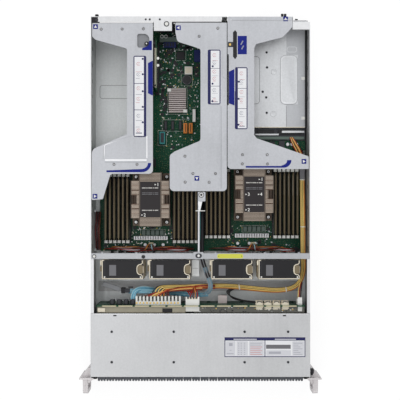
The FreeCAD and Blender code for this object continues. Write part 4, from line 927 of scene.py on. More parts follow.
# memory
modules = {"banks": ((-193.4, 266), (-53.1, 266), (12.9, 276), (153.4, 276)), "pitch": 8.9, "count": 6,
           "chipPitch": 14.2, "chipLow": 19.5, "chipHigh": 33.5, "latchLow": 21.5}
painted("memory_sockets", "memorySockets",
        lambda middle, normal: "white" if middle.z > modules["latchLow"] else "black", "chassis", 0.2)
painted("memory_modules", "memoryModules",
        lambda middle, normal: "moduleEdge" if normal.z > 0.6 else "cardPcb")
moduleTop = nodeBox("memory_modules")[1][2]
sample = []
for left, right, steps in ((-0.95, -0.6, (0, 1, 2, 3, 5, 6, 7, 8)), (0.6, 0.95, range(9))):
    for step in steps:
        y = step * modules["chipPitch"]
        sample.append(plate((left, 8 + y, modules["chipLow"]), (right, 18.2 + y, modules["chipHigh"]),
                            "chip", 0.1))
sample.append(plate((-0.75, 88, moduleTop - 9.5), (-0.62, 128, moduleTop - 2), "label", 0.02))
sample = joined(sample, "moduleChips")
chips = [copied(sample, (x0 + step * modules["pitch"], y0, 0))
         for x0, y0 in modules["banks"] for step in range(modules["count"])]
bpy.data.objects.remove(sample)
ride(joined(chips, "moduleChips"), "chassis")
print("memory built")

# coolers
coolers = {
    "heatsink_left": ((-100.5, 355.5), (("1", 14.5, 30), ("2", -12, -31))),
    "heatsink_right": ((108.0, 366.0), (("1", 14.5, 30), ("2", -12, -31), ("3", -12, 0), ("4", 13, 0))),
}
fins = {"inner": 22.6, "outer": 37.2, "window": 26.4, "windowHalf": 9.4, "windowMiddle": 31.4,
        "windowWide": 4.6, "gaps": (-27.5, -18.5, -9.6, 9.6, 18.5, 27.5), "labelHalf": 20.5,
        "screwX": 31.5, "screwY": 46.5}


def numeral(text, x, y, z, size):  # a plain raised number
    clear()
    bpy.ops.object.text_add(location=(x * mm, y * mm, z * mm))
    thing = bpy.context.object
    thing.data.body = text
    thing.data.size = size * mm
    thing.data.offset = 0.1 * mm
    thing.data.extrude = 0.03 * mm
    bpy.ops.object.convert(target="MESH")
    thing.data.materials.clear()
    thing.data.materials.append(finishes["white"])
    return settle(thing)


for node, ((x, y), marks) in coolers.items():
    top = nodeBox(node)[1][2]
    painted(node, node + "Body",
            lambda middle, normal, top=top: "fins" if middle.z > top - 2.2 else "finEdge")
    bars = []
    for side in (-1, 1):
        inner, outer = x + side * fins["inner"], x + side * fins["outer"]
        # light stripes along the fin edges, in a lighter copy of the fin metal: painted highlight
        for step in range(30):
            level = y - 36.2 + step * 2.5
            inWindow = abs(level - y) < fins["windowHalf"]
            reach = x + side * fins["window"] if inWindow else outer
            bars.append(blockPiece((min(inner, reach), level - 0.55, top - 0.02),
                                   (max(inner, reach), level + 0.55, top + 0.3), "finHighlight"))
        # dark bars laid on top over the gaps between fin groups: painted shade
        for gap in fins["gaps"]:
            bars.append(blockPiece((min(inner, outer), y + gap - 0.7, top + 0.25),
                                   (max(inner, outer), y + gap + 0.7, top + 0.4), "deepFinShade"))
        # the fins deep in the windows are real, drawn in the dark copy of the fin metal: painted shade
        windowX = x + side * fins["windowMiddle"]
        for step in range(6):
            level = y - 7.6 + step * 3.0
            bars.append(blockPiece((windowX - fins["windowWide"], level - 0.3, top - 3.2),
                                   (windowX + fins["windowWide"], level + 0.3, top - 1.2), "deepFinShade"))
    # the same painted highlight stripes above and below the label
    for step in range(42):
        level = y - 52.4 + step * 2.55
        if not -36 < level - y < 36:
            bars.append(blockPiece((x - fins["labelHalf"], level - 0.35, top - 0.02),
                                   (x + fins["labelHalf"], level + 0.35, top + 0.12), "finHighlight"))
    ride(joined(bars, node + "Fins"), "chassis")
    labelParts = [outlined(roundedCorners(x - 20.2, x + 20.2, y - 35.5, y + 35.5, 1.5), top, 0.25, "plate",
                           0.08)]
    for text, dx, dy in marks:
        markX, markY = x + dx, y + dy
        labelParts.append(numeral(text, markX - 1.4, markY - 3.0, top + 0.28, 9.0))
        labelParts.append(outlined([(markX - 5.6, markY - 1.6), (markX - 2.4, markY - 0.2),
                                    (markX - 5.6, markY + 1.4)], top + 0.25, 0.06, "white"))
    for dy, tall, look in ((22.2, 1.9, "print"), (12.6, 1.3, "sticker"), (9.8, 1.1, "sticker"),
                           (-22.6, 1.9, "print")):
        for left, right in ((-16.5, -9.0), (-8.0, -5.2), (-4.0, 4.2), (5.4, 7.6), (8.8, 16.0)):
            labelParts.append(plate((x + left, y + dy, top + 0.25), (x + right, y + dy + tall, top + 0.29),
                                    look, 0.02))
    ride(joined(labelParts, node + "Label"), "chassis")
    heads = []
    for screwX in (x - fins["screwX"], x + fins["screwX"]):
        for screwY in (y - fins["screwY"], y + fins["screwY"]):
            heads += [roundPiece(4.4, (screwX, screwY, boardTop + 17.8), 0.9, "black", sides=20, bevel=0.2),
                      roundPiece(2.9, (screwX, screwY, boardTop + 18.6), 0.9, "plated", sides=16, bevel=0.3),
                      roundPiece(1.2, (screwX, screwY, boardTop + 19.4), 0.2, "slate", sides=8)]
    ride(smooth(joined(heads, node + "Screws")), "chassis")
print("coolers built")


# cables: bundles of strands along listed routes, with places and radii in metres
harnessRoute = [
    (0.2083, 0.3967, 0.034), (0.2083, 0.376, 0.034), (0.2086, 0.352, 0.039), (0.2083, 0.322, 0.043),
    (0.2087, 0.282, 0.044), (0.2088, 0.242, 0.045), (0.210, 0.205, 0.046), (0.197, 0.178, 0.047),
    (0.162, 0.170, 0.048), (0.112, 0.174, 0.048), (0.062, 0.180, 0.049), (0.016, 0.180, 0.049),
    (-0.028, 0.178, 0.053), (-0.060, 0.179, 0.061), (-0.077, 0.177, 0.067), (-0.077, 0.1617, 0.067),
]
dataRoute = [
    (-0.1356, 0.1543, 0.065), (-0.1356, 0.168, 0.064), (-0.124, 0.176, 0.058), (-0.104, 0.174, 0.048),
    (-0.078, 0.168, 0.038), (-0.042, 0.163, 0.034), (-0.008, 0.161, 0.042), (0.014, 0.164, 0.055),
    (0.022, 0.180, 0.065), (0.016, 0.198, 0.065), (0.008, 0.218, 0.060), (0.001, 0.242, 0.053),
    (0.0002, 0.272, 0.045), (0.0005, 0.300, 0.0425), (0.0005, 0.322, 0.040), (0.001, 0.337, 0.030),
    (0.0015, 0.346, 0.0175), (0.0015, 0.3577, 0.017),
]


def offsetRoute(route, across, above):  # the route moved sideways and upwards, point by point, in metres
    points = []
    for index, place in enumerate(route):
        before, after = Vector(route[max(index - 1, 0)]), Vector(route[min(index + 1, len(route) - 1)])
        heading = (after - before).normalized()
        side = heading.cross(Vector((0, 0, 1))).normalized()
        points.append(Vector(place) + side * across + side.cross(heading) * above)
    return points


def strand(points, radius, look, sides=3):  # a smooth round wire
    clear()
    curve = bpy.data.curves.new("strand", "CURVE")
    curve.dimensions = "3D"
    spline = curve.splines.new("NURBS")
    spline.points.add(len(points) - 1)
    for target, place in zip(spline.points, points):
        target.co = (*place, 1)
    spline.order_u = 3
    spline.use_endpoint_u = True
    curve.resolution_u = 6
    curve.bevel_depth = radius
    curve.bevel_resolution = sides
    curve.use_fill_caps = True
    thing = bpy.data.objects.new("strand", curve)
    bpy.context.scene.collection.objects.link(thing)
    choose(thing)
    bpy.ops.object.convert(target="MESH")
    thing.data.materials.clear()
    thing.data.materials.append(finishes[look])
    for face in thing.data.polygons:
        face.use_smooth = True
    return thing


harnessValues = {"across": 0.0043, "above": 0.0040, "drift": 0.0042, "wire": 0.0011, "core": 0.0034,
                 "looks": ("blackWire", "yellowWire", "yellowWire", "yellowWire", "orangeWire", "brownWire",
                           "blackWire", "redWire", "blackWire"),
                 "ties": ((0.0788, 0.178, 0.049, 0.15), (0.174, 0.1725, 0.0478, 0.1),
                          (0.2086, 0.396, 0.034, 1.57), (0.2088, 0.30, 0.0437, 1.57))}  # place and turn
harness = []
for number, look in enumerate(harnessValues["looks"]):
    angle = math.radians(-10 + number * 40)
    points = offsetRoute(harnessRoute, harnessValues["across"] * math.cos(angle),
                         harnessValues["above"] * math.sin(angle))
    drift = (number - 4) * harnessValues["drift"]
    for index, share in ((-3, 0.35), (-2, 0.85), (-1, 1.0)):  # the wires fan out before the plug
        points[index].x += drift * share
        if points[index].z < 0.067:
            points[index].z += 0.0005
    harness.append(strand(points, harnessValues["wire"], look))
harness.append(strand(offsetRoute(harnessRoute, 0, 0), harnessValues["core"], "blackWire"))
for x, y, z, turn in harnessValues["ties"]:
    ring = roundPiece(5.6, (0, 0, -1.1), 2.2, "white", sides=18, bevel=0.4)
    knot = plate((-1.6, 4.6, -1.6), (1.6, 7.2, 1.6), "white", 0.4)
    tie = joined([ring, knot], "tie")
    tie.data.transform(Matrix.Translation((x, y, z)) @ Matrix.Rotation(turn, 4, "Z")
                       @ Matrix.Rotation(math.pi / 2, 4, "Y") @ Matrix.Rotation(-math.pi / 2, 4, "Z"))
    harness.append(tie)
ride(joined(harness, "powerHarnessWires"), "chassis", ("power_harness",))

ribbon = []
for number in range(6):
    points = offsetRoute(dataRoute, (number - 2.5) * 0.00165, 0.0004)
    look = "blueWire" if number % 3 else "paleWire"
    ribbon.append(strand(points[:8], 0.00092, look))
    ribbon.append(strand(points[6:11], 0.00096, "slateWire" if number % 3 else "greyWire"))
    ribbon.append(strand(points[9:13], 0.00092, ("greyWire", "blackWire", "blackWire")[number % 3]))
    inner = offsetRoute(dataRoute, (number - 2.5) * 0.0009, 0.001)[12:]
    ribbon.append(strand([place + Vector((0.0012, 0, 0)) for place in inner], 0.0008, "teal"))
sleeve = [place + Vector((0.0024, 0, -0.0012)) for place in offsetRoute(dataRoute[11:], 0, 0)]
ribbon.append(strand(sleeve, 0.0042, "black", 4))
ride(joined(ribbon, "dataCableRibbon"), "chassis", ("data_cable",))

leads = []
for middle in fans["middles"]:
    for number, look in enumerate(("redWire", "brownWire", "paleWire", "rosePrint")):
        start = (middle + 36 - number * 2.2) * mm
        y = 0.2502 + number * 0.0011
        points = [(start, 0.2508, 0.0125), (start + 0.001, y, 0.030), (start - 0.004, y, 0.042),
                  (start - 0.016, y, 0.046), (start - 0.030, y + 0.0004, 0.046),
                  (start - 0.0365, 0.2512, 0.036), (start - 0.037, 0.2516, 0.0125)]
        leads.append(strand(points, 0.00062, look, 2))
ride(joined(leads, "fanLeads"), "chassis")
redRun = []
for number in range(4):
    x = -0.0225 + number * 0.0042
    redRun.append(strand([(x, 0.1635, 0.064), (x, 0.1675, 0.063), (x - 0.006, 0.1715, 0.056),
                          (x - 0.016, 0.1745, 0.0535), (x - 0.026, 0.1775, 0.0535)], 0.0012, "redWire"))
ride(joined(redRun, "redLeads"), "chassis")
print("cables laid")

# drives
drives = {"count": 24, "pitch": 17.1, "half": 16.7 / 2, "face": -2.8, "flange": 9, "tubHalf": 7.6,
          "rows": 14, "cellPitch": 5.57}
low, high = nodeBox("drive_01")
driveLow, driveHigh, driveEnd = low[2], high[2], high[1]
cellRadius = drives["cellPitch"] / math.sqrt(3)


def hexCell(x, z):  # a proud rim round a dark well, facing the front
    clear()
    bpy.ops.mesh.primitive_circle_add(vertices=6, radius=cellRadius * 0.97 * mm, fill_type="NGON",
                                      location=(x * mm, drives["face"] * mm, z * mm),
                                      rotation=(math.pi / 2, 0, 0))
    cell = settle(bpy.context.object)
    cell.data.materials.append(finishes["bezelRim"])
    cell.data.materials.append(finishes["black"])
    inEdit(cell)
    bpy.ops.mesh.select_all(action="SELECT")
    bpy.ops.mesh.extrude_region_move(TRANSFORM_OT_translate={"value": (0, -1.1 * mm, 0)})
    bpy.ops.mesh.inset(thickness=0.6 * mm)
    bpy.ops.mesh.extrude_region_move(TRANSFORM_OT_translate={"value": (0, 1.0 * mm, 0)})
    bpy.context.object.active_material_index = 1
    bpy.ops.object.material_slot_assign()
    bpy.ops.object.mode_set(mode="OBJECT")
    return cell


cells = []
first = hexCell(0, 0)
for row in range(drives["rows"]):
    z = driveLow + 14.2 + row * cellRadius * 1.5
    for column in (-0.5, 0.5) if row % 2 else (-1, 0, 1):
        cells.append(copied(first, (column * drives["cellPitch"] * 0.98, 0, z)))
bpy.data.objects.remove(first)
half = drives["half"]
behind = drives["face"] + 0.2
front = [plate((-half, drives["face"], driveLow), (half, drives["flange"], driveHigh), "bezel", 0.7, 2),
         plate((-half + 0.3, -4.0, driveHigh - 3.2), (half - 0.3, behind, driveHigh - 0.6), "bezelRim", 0.4),
         plate((-4.5, -4.4, driveLow + 1.5), (4.5, behind, driveLow + 10), "bezelRim", 0.7, 2),
         plate((-3.2, -4.4, driveLow + 7.4), (3.2, -4.3, driveLow + 8.6), "black", 0.03),
         plate((-half + 0.5, -3.4, driveLow + 1), (-half + 1.7, behind, driveLow + 11), "led", 0.3),
         plate((half - 1.7, -3.4, driveLow + 1), (half - 0.5, behind, driveLow + 11), "white", 0.3)]
front += [roundPiece(2.5, (column * drives["cellPitch"], -4.2, driveHigh - 2.6), 2.0, "bezel", sides=6,
                     bevel=0.3) for column in (-1, 0, 1)]
tubHalf = drives["tubHalf"]
tub = [plate((-tubHalf, drives["flange"], driveLow), (tubHalf, driveEnd - 6, driveHigh), "supplyCase", 0.5),
       plate((-tubHalf + 2, driveEnd - 6, driveLow + 14), (tubHalf - 2, driveEnd, driveLow + 60), "black",
             0.4),
       plate((-tubHalf - 0.04, 24, driveLow + 8), (-tubHalf + 0.3, 100, driveLow + 70), "label", 0.02)]
tub += [roundPiece(1.6, (tubHalf - 0.1, y, driveLow + 6), 0.16, "black", "X", 12) for y in (22, 60, 98)]
driveMaster = joined(front + cells + tub, "driveMaster")
for number in range(1, drives["count"] + 1):
    node = f"drive_{number:02d}"
    twin = copied(driveMaster, ((number - 12.5) * drives["pitch"], 0, 0))
    twin.name = f"driveCarrier{number:02d}"
    ride(twin, node, nodes=(node,))
bpy.data.objects.remove(driveMaster)
print("drives built")

# power supplies: steel case and rear face, dark parts about that face
for number in (1, 2):
    node = f"psu_{number}"
    rearFace = nodeBox(node)[0][1] + 206.0

    def supplyLook(middle, normal, rearFace=rearFace):
        offFace = middle.y - rearFace
        return "slate" if offFace > -20 and abs(offFace) > 0.2 else "supplyCase"

    painted(node, f"supplyBody{number}", supplyLook, node, 0.25)
print("power supplies painted")


# folds in the brackets, the sheet under the round-cornered opening and the card's top edge
folds = {
    "riser_left": [([(-190, 433.4), (-107, 433.4)], 4.4, "foldLight"),
                   ([(-106.6, 438), (-106.6, 482)], 2.2, "foldLight"),
                   ([(-191.5, 437), (-191.5, 461), (-189, 464.6), (-136, 480.6), (-129, 481.6),
                     (-109, 481.6)], 1.5, "foldLight"),
                   ([(-193.2, 437), (-193.2, 462)], 0.8, "foldShade"),
                   ([(-190, 429.8), (-107, 429.8)], 0.8, "foldShade")],
    "riser_middle": [([(39.7, 378), (39.7, 541)], 2.0, "foldLight"),
                     ([(41.3, 378), (41.3, 541)], 0.6, "foldShade")],
    "riser_right": [([(60, 712.8), (181, 712.8)], 1.2, "foldLight"),
                    ([(60, 711.8), (181, 711.8)], 0.5, "foldShade")],
}
for body, lines in folds.items():
    made = [strip(path, width, riserTop, 0.12, look) for path, width, look in lines]
    ride(joined(made, body + "Folds"), body)
underSheet = [plate((-127.5, 655.5, riserTop - 4.6), (-100.4, 687.4, riserTop - 4.0), "foldShade", 0.2)]
cardEdge = [plate((-91.0, 579, riserTop - 5.2), (-87.2, 658, riserTop - 4.4), "cream", 0.15),
            plate((-87.0, 579, riserTop - 9), (-84.6, 642, riserTop - 5.2), "black", 0.2)]
cardEdge += [roundPiece(2.9, (-84.8, y, riserTop - 6), 1.2, "white", sides=16, bevel=0.4)
             for y in (637.4, 623.2)]
ride(smooth(joined(underSheet + cardEdge, "leftCardEdge")), "riser_left")


def trayLook(middle, normal):  # faces that look up are painted lighter, as painted light: the folded edges on top and the floor; walls facing sideways in a tone of their own
    if normal.z > 0.8 and middle.z > 80:
        return "lipSteel"
    if middle.z < 3 and normal.z > 0.8:
        return "floorSteel"
    return "wallSteel" if abs(normal.x) > 0.8 and abs(middle.x) < 218.4 else "steel"


painted("chassis_tray", "chassisSheet", trayLook)
wallMarks = []
for y in (258, 296, 340, 382, 560, 590, 622, 655, 684):
    wallMarks.append(plate((-217.4, y, 60), (-217.0, y + 7, 64), "black", 0.05))
    wallMarks.append(plate((217.0, y - 4, 52), (217.4, y + 3, 56), "black", 0.05))
wallMarks += [plate((-216.6, y, 20), (-214.2, y + 5, 34), "supplyCase", 0.4) for y in (250, 330, 410)]
wallMarks.append(roundPiece(3.7, (-206.4, 719.4, 82.4), 5.0, "black", "Y", 18, 0.6))
wallMarks.append(plate((212.6, 500, 44.2), (216.9, 700, 45.0), "black", 0.1))
ride(smooth(joined(wallMarks, "wallMarks")), "chassis")

# supply cage: pressed outlines, seam and the darker half
cageLines = [closedStrip(163, 197.5, 549.5, 649, 10, 1.2, cageTop + 0.5, 0.2, "foldShade"),
             closedStrip(165.4, 195.1, 551.9, 646.6, 8, 0.8, cageTop + 0.5, 0.16, "foldLight"),
             closedStrip(145, 154, 611, 620, 1.5, 0.7, cageTop + 0.1, 0.2, "foldShade"),
             strip([(106.5, 647), (116, 646.5)] + arc(114, 640, 6.5, 80, 0) + arc(114, 557, 6.5, 0, -80)
                   + [(116, 550.5), (106.5, 550)], 1.0, cageTop + 0.2, 0.5, "foldShade"),
             strip(arc(148.6, 529.4, 5.5, 0, 350, 18), 0.7, cageTop + 0.1, 0.2, "foldShade"),
             blockPiece((175.2, 503.6, cageTop), (213.6, 549, cageTop + 0.08), "supplyShade"),
             blockPiece((198.4, 549, cageTop), (213.6, 700, cageTop + 0.08), "supplyShade"),
             blockPiece((175.2, 650, cageTop), (198.4, 700, cageTop + 0.08), "supplyShade")]
cageLines += [plate((206, y, cageTop + 0.1), (213, y + 6, cageTop + 1.6), "white", 0.6) for y in (518, 599)]
ride(joined(cageLines, "cageLines"), "chassis")
ride(joined([closedStrip(-209, -140, 565.6, 593, 5, 1.0, 1.25, 0.2, "foldShade")], "wellLine"), "chassis")

# fan holders: cream edges and the stepped finger notch
for number, middle in enumerate(fans["middles"], 1):
    body = f"fan_{number}"
    top = nodeBox(body)[1][2]
    gripPath = [(middle + x, y) for x, y in (
        (39.4, 198.2), (39.4, 203.0), (37.4, 205.4), (32.6, 206.2), (29.6, 208.8), (28.6, 213), (28.6, 219),
        (29.6, 223), (32.6, 225.6), (37.4, 226.6), (39.4, 228.8), (39.4, 234.0))]
    edges = [strip(gripPath, 1.7, top - 0.05, 0.9, "cream", 0.1),
             strip([(middle - 40.4, 234.2), (middle - 40.4, 197.8)], 1.6, top - 0.05, 0.9, "cream", 0.1),
             strip([(middle - 41.2, 197.6), (middle + 40.2, 197.6)], 1.7, top - 0.05, 0.9, "cream", 0.1),
             # the notch's inner face and the gap beside the fan are painted darker than the cream: painted
             # shade
             plate((middle + 30.4, 207.6, top - 0.05), (middle + 40.0, 224.4, top + 0.3), "recessShade", 0.2),
             plate((middle - 44.8, 212, top - 9), (middle - 42.0, 222, top - 1), "recessShade", 0.3)]
    ride(smooth(joined(edges, f"fanEdges{number}")), body)
# the divider's top plate is in the lighter floor steel: painted light
between = [plate((-17.6, 199.4, 48), (-2.4, 233.6, 49.4), "floorSteel", 0.3),
           plate((-17.6, 199.4, 1.4), (-16.4, 233.6, 48), "steel", 0.2),
           plate((-3.6, 199.4, 1.4), (-2.4, 233.6, 48), "steel", 0.2),
           strip([(-16, 216), (-4, 216)], 0.8, 49.4, 0.1, "foldShade")]
ride(joined(between, "fanDivider"), "chassis")
print("fan holders finished")

# cable bay: floor sheet in the lighter floor steel (painted light), the shelf over the drive sockets, round
# socket caps, looms
bay = [plate((-212, 186.5, 1.25), (212, 195.6, 2.2), "floorSteel", 0.2),
       plate((-212, 165, 1.25), (212, 186, 1.7), "steel", 0.1)]
bay += [plate((x, 172, 1.7), (x + 10, 174.5, 1.9), "slate", 0.1) for x in (-150, -60, 40, 100, 180)]
shelf = [plate((-206, 129.4, 78.2), (-12, 141.6, 79.0), "shelfTone", 0.2),
         plate((-30, 129.4, 78.6), (208, 141.6, 79.0), "barShade", 0.2),
         plate((-76, 130, 79.0), (-56, 138, 79.3), "black", 0.1),
         plate((-205, 131, 79), (-190, 139, 82), "cream", 0.4)]
for step in range(70):
    x, y = random.uniform(-26, 204), random.uniform(130.5, 139)
    look = random.choice(("white", "slate", "chip", "gold", "can", "slate"))
    wide, deep = random.uniform(0.8, 3.4), random.uniform(0.8, 1.8)
    shelf.append(blockPiece((x, y, 79), (x + wide, y + deep, 79.6), look))
for x in (117.9, 134.9, 152.3, 169.5):
    shelf.append(roundPiece(7.0, (x, 143.5, 78.2), 1.6, "cream", sides=24, bevel=0.6))
    shelf.append(plate((x - 7, 135.4, 78.2), (x + 7, 143.5, 79.4), "cream", 0.4))
shelf += [plate((-29.6, 131.4, 76), (-2.0, 161, 79.8), "white", 0.6),
          plate((-27, 156, 79.8), (-5, 159.6, 80.2), "cream", 0.2)]
shelf += [plate((-26.6 + step * 5.6, 157, 80.0), (-23.0 + step * 5.6, 161.2, 80.3), "slate", 0.1)
          for step in range(4)]
shelf += [plate((194.6, 132, 76), (203.4, 160, 79.6), "white", 0.6),
          plate((196, 146, 79.6), (202, 147, 79.8), "slate", 0.1)]
ride(smooth(joined(bay + shelf, "cableBay")), "chassis")

looms = []
for number in range(5):
    shift = number * 0.0022
    looms.append(strand([(0.074 - shift, 0.1755, 0.0445), (0.064 - shift, 0.172, 0.0425),
                         (0.058 - shift * 0.6, 0.165, 0.040), (0.062 + shift * 0.4, 0.156, 0.042),
                         (0.076 + shift, 0.151, 0.050), (0.096 + shift, 0.1495, 0.060),
                         (0.110 + shift * 3, 0.149, 0.072)], 0.0013, "blackWire"))
for number, look in enumerate(("redWire", "brownWire", "orangeWire", "redWire")):
    looms.append(strand([(0.03, 0.1815 - number * 0.0022, 0.0535), (0.0, 0.1832 - number * 0.0016, 0.0545),
                         (-0.014, 0.1785 + number * 0.0012, 0.060), (-0.018 + number * 0.0045, 0.168, 0.074),
                         (-0.0215 + number * 0.0052, 0.159, 0.0795)], 0.0011, look))
for number, look in enumerate(("redWire", "orangeWire", "yellowWire", "redWire", "brownWire")):
    looms.append(strand([(0.004, 0.1800 - number * 0.0018, 0.0550), (-0.030, 0.1795 - number * 0.002, 0.0585),
                         (-0.058 - number * 0.004, 0.1755 - number * 0.0012, 0.067),
                         (-0.078 - number * 0.005, 0.168, 0.0725),
                         (-0.084 - number * 0.0069, 0.1615, 0.0725)],
                        0.00115, look))
for number, look in enumerate(("yellowWire", "redWire", "blackWire")):
    looms.append(strand([(0.1965 + number * 0.0024, 0.158, 0.066), (0.1968 + number * 0.0026, 0.166, 0.066),
                         (0.198 + number * 0.0024, 0.176, 0.060), (0.2025 + number * 0.002, 0.188, 0.0535)],
                        0.001, look))
ride(joined(looms, "bayLooms"), "chassis")
sleeveEnd = [outlined([(-202, 180.5), (-196, 189), (-163, 178), (-158, 170.5), (-166, 168.5)], 44, 3.0,
                      "greyWire", 0.8),
             plate((-160.5, 165.6, 45), (-151.5, 177.5, 56), "black", 1.0),
             plate((-153, 167, 52), (-142, 175.5, 57.5), "slate", 0.6)]
ride(smooth(joined(sleeveEnd, "sleeveEnd")), "chassis")
blueRun = []
for number in range(5):
    y = 0.1665 + number * 0.0019
    blueRun.append(strand([(-0.145, y, 0.056), (-0.125, y + 0.0002, 0.0575), (-0.100, y, 0.0545),
                           (-0.080, y - 0.002, 0.050), (-0.060, y - 0.004, 0.044)], 0.001,
                          "paleWire" if number % 2 else "blueWire"))
ride(joined(blueRun, "blueRibbon"), "chassis")
print("cable bay filled")

# centre strut: fixing screw, cross tab and cable channel
strutTop = nodeBox("centre_strut")[1][2]
strutParts = [roundPiece(5.6, (1.8, 364.8, strutTop - 0.02), 0.5, "slate", sides=28, bevel=0.15),
              roundPiece(4.4, (1.8, 364.8, strutTop + 0.45), 0.5, "plated", sides=28, bevel=0.2),
              roundPiece(2.4, (1.8, 364.8, strutTop + 0.9), 0.2, "slate", sides=16),
              strip([(-9.5, 333), (9.5, 333)], 1.6, strutTop, 0.5, "white", 0.1),
              strip([(-3.3, 252), (-3.3, 352)], 1.0, strutTop, 0.25, "foldLight"),
              outlined([(-5, 347), (-1.4, 330), (3.4, 350), (-4, 352)], strutTop, 0.2, "foldLight")]
ride(smooth(joined(strutParts, "strutParts")), "chassis")

# black slabs under the memory banks: painted shade between the sockets
bankShade = [blockPiece((x0 - 5.4, y0 + 1, boardTop), (x0 + 50.2, y0 + 141, boardTop + 2.6), "black")
         for x0, y0 in modules["banks"]]
ride(joined(bankShade, "memoryBankShade"), "chassis")


vents = {"pitch": 5.0, "half": 2.4 / 2, "thick": 0.06, "side": 12, "end": 5.5, "gap": 2.2, "rowHeight": 18,
         "leastArea": 0.0006, "highest": 0.082, "leastWidth": 20}  # area and height in metres


def ventRow(low, high, y, body, name):  # dark upright slots on a face that looks to the rear
    slots = []
    for step in range(int((high[0] - low[0]) / vents["pitch"])):
        x = low[0] + (step + 0.5) * vents["pitch"]
        slots.append(blockPiece((x - vents["half"], y, low[1]),
                                (x + vents["half"], y + vents["thick"], high[1]), "black"))
    return ride(joined(slots, name), body)


for node in risers:
    bracket = bpy.data.objects[node + "Bracket"].data
    sheets = [face for face in bracket.polygons
              if face.normal.y > 0.9 and face.area > vents["leastArea"] and face.center.z < vents["highest"]]
    for number, face in enumerate(sheets, 1):
        corners = [bracket.vertices[index].co / mm for index in face.vertices]
        x0, x1 = min(c.x for c in corners) + vents["side"], max(c.x for c in corners) - vents["side"]
        z0, z1 = min(c.z for c in corners) + vents["end"], max(c.z for c in corners) - vents["end"]
        rows = max(1, round((z1 - z0) / vents["rowHeight"]))
        for row in range(rows if x1 - x0 > vents["leastWidth"] else 0):
            base = z0 + (z1 - z0) * row / rows
            ventRow((x0, base + vents["gap"]), (x1, base + (z1 - z0) / rows - vents["gap"]),
                    face.center.y / mm, node, f"{node}Vents{number}_{row}")

# power inlets: a dark frame round the opening, a light and the latch's tab
inlet = {"face": 721.0, "z": 21.6}
for number in (1, 2):
    low, high = nodeBox(f"psu_{number}")
    x, z, face = (low[0] + high[0]) / 2, inlet["z"], inlet["face"]
    bars = [(10, 26, -13, -12), (10, 26, 12, 13), (10, 11, -13, 13), (25, 26, -13, 13)]
    inletParts = [blockPiece((x + x0, face - 0.02, z + z0), (x + x1, face + 0.5, z + z1), "black")
                  for x0, x1, z0, z1 in bars]
    inletParts += [roundPiece(1.3, (x - 24, face - 0.02, 6.4), 0.6, "led", "Y", 14, 0.2),
                   plate((x + 12, face + 0.4, 2.4), (x + 24, face + 4.9, 6.2), "orange", 0.5)]
    ride(smooth(joined(inletParts, f"supplyInlet{number}")), f"psu_{number}")

portRims = ((0, 15, 10.6, 11.4), (0, 15, 22.6, 23.4), (0, 0.8, 11.4, 22.6), (14.2, 15, 11.4, 22.6))
ports = [blockPiece((x + x0, 720.0, z0), (x + x1, 720.3, z1), "plated")
         for x in (-87.0, -70.0, -53.0, -36.0, -19.0) for x0, x1, z0, z1 in portRims]
ride(joined(ports, "portFrames"), "chassis")
print("rear details built")


# wires along the rear of the cross bar, and the plugs they end in
loose = []
wireLooks = ("redWire", "brownWire", "blackWire", "redWire", "greyWire", "brownWire", "orangeWire",
             "blackWire")
for low, high in ((-0.206, -0.012), (0.016, 0.196)):
    for number, look in enumerate(wireLooks):
        start, finish = low + random.uniform(0, 0.03), high - random.uniform(0, 0.03)
        points = [(start, 0.2535, 0.0125)]
        for step in range(9):
            x = start + (finish - start) * (step + 0.5) / 9
            y = 0.2515 + number * 0.0011 + random.uniform(-0.0012, 0.0022)
            points.append((x, y, 0.030 + random.uniform(-0.003, 0.004)))
        points.append((finish, 0.2535, 0.0125))
        loose.append(strand(points, 0.00075, look, 2))
for x, y in ((-0.1018, 0.264), (0.1082, 0.2645)):
    for number, look in enumerate(("orangeWire", "brownWire", "paleWire", "brownWire")):
        side = (number - 1.5) * 0.002
        loose.append(strand([(x + side, y, 0.024), (x + side * 1.4, y, 0.036),
                             (x + side * 2.2, y - 0.004, 0.043), (x + side * 3.4, 0.2530, 0.041),
                             (x + side * 4.2, 0.2525, 0.032)], 0.001, look, 2))
    plugX, plugY = x / mm, y / mm
    loose.append(plate((plugX - 4.6, plugY - 3, boardTop), (plugX + 4.6, plugY + 3, boardTop + 15), "ivory",
                       0.5))
for number, look in enumerate(("darkRed", "blackWire", "darkRed", "brownWire")):
    x = -0.2145 + number * 0.0026
    loose.append(strand([(x, 0.252, 0.020), (x + 0.001, 0.270, 0.030), (x - 0.0008, 0.292, 0.034),
                         (x + 0.0012, 0.316, 0.026), (x, 0.330, 0.012)], 0.0012, look, 2))
for number, look in enumerate(("redWire", "yellowWire", "blackWire", "orangeWire", "yellowWire", "redWire")):
    x = 0.1985 + number * 0.0021
    loose.append(strand([(x, 0.424, 0.041), (x + 0.0004, 0.436, 0.0465), (x - 0.003, 0.452, 0.0475),
                         (x - 0.012, 0.468, 0.045), (x - 0.016 - number * 0.001, 0.482, 0.041)], 0.0011,
                        look, 2))
ride(joined(loose, "looseWires"), "chassis")

# power input board ahead of the supply cage
powerInput = [plate((112, 486.4, 39.6), (160, 489.8, 40.6), "supplyCase", 0.3),
              plate((166, 491.4, 40.4), (212, 495.8, 41.4), "supplyCase", 0.3),
              plate((118, 462, 35.4), (134, 474, 40), "cream", 0.6),
              plate((140, 458, 35.4), (152, 474, 42), "chip", 0.6),
              plate((160, 460, 35.4), (172, 475, 40), "slate", 0.6),
              plate((108, 456, 34.2), (214, 476, 35.4), "pcb", 0.2)]
powerInput += [roundPiece(3.4, (x, 468, 35.4), 6.0, "can", sides=20, bevel=0.5) for x in (178, 187, 196)]
ride(smooth(joined(powerInput, "powerInput")), "chassis")
print("loose wires laid")


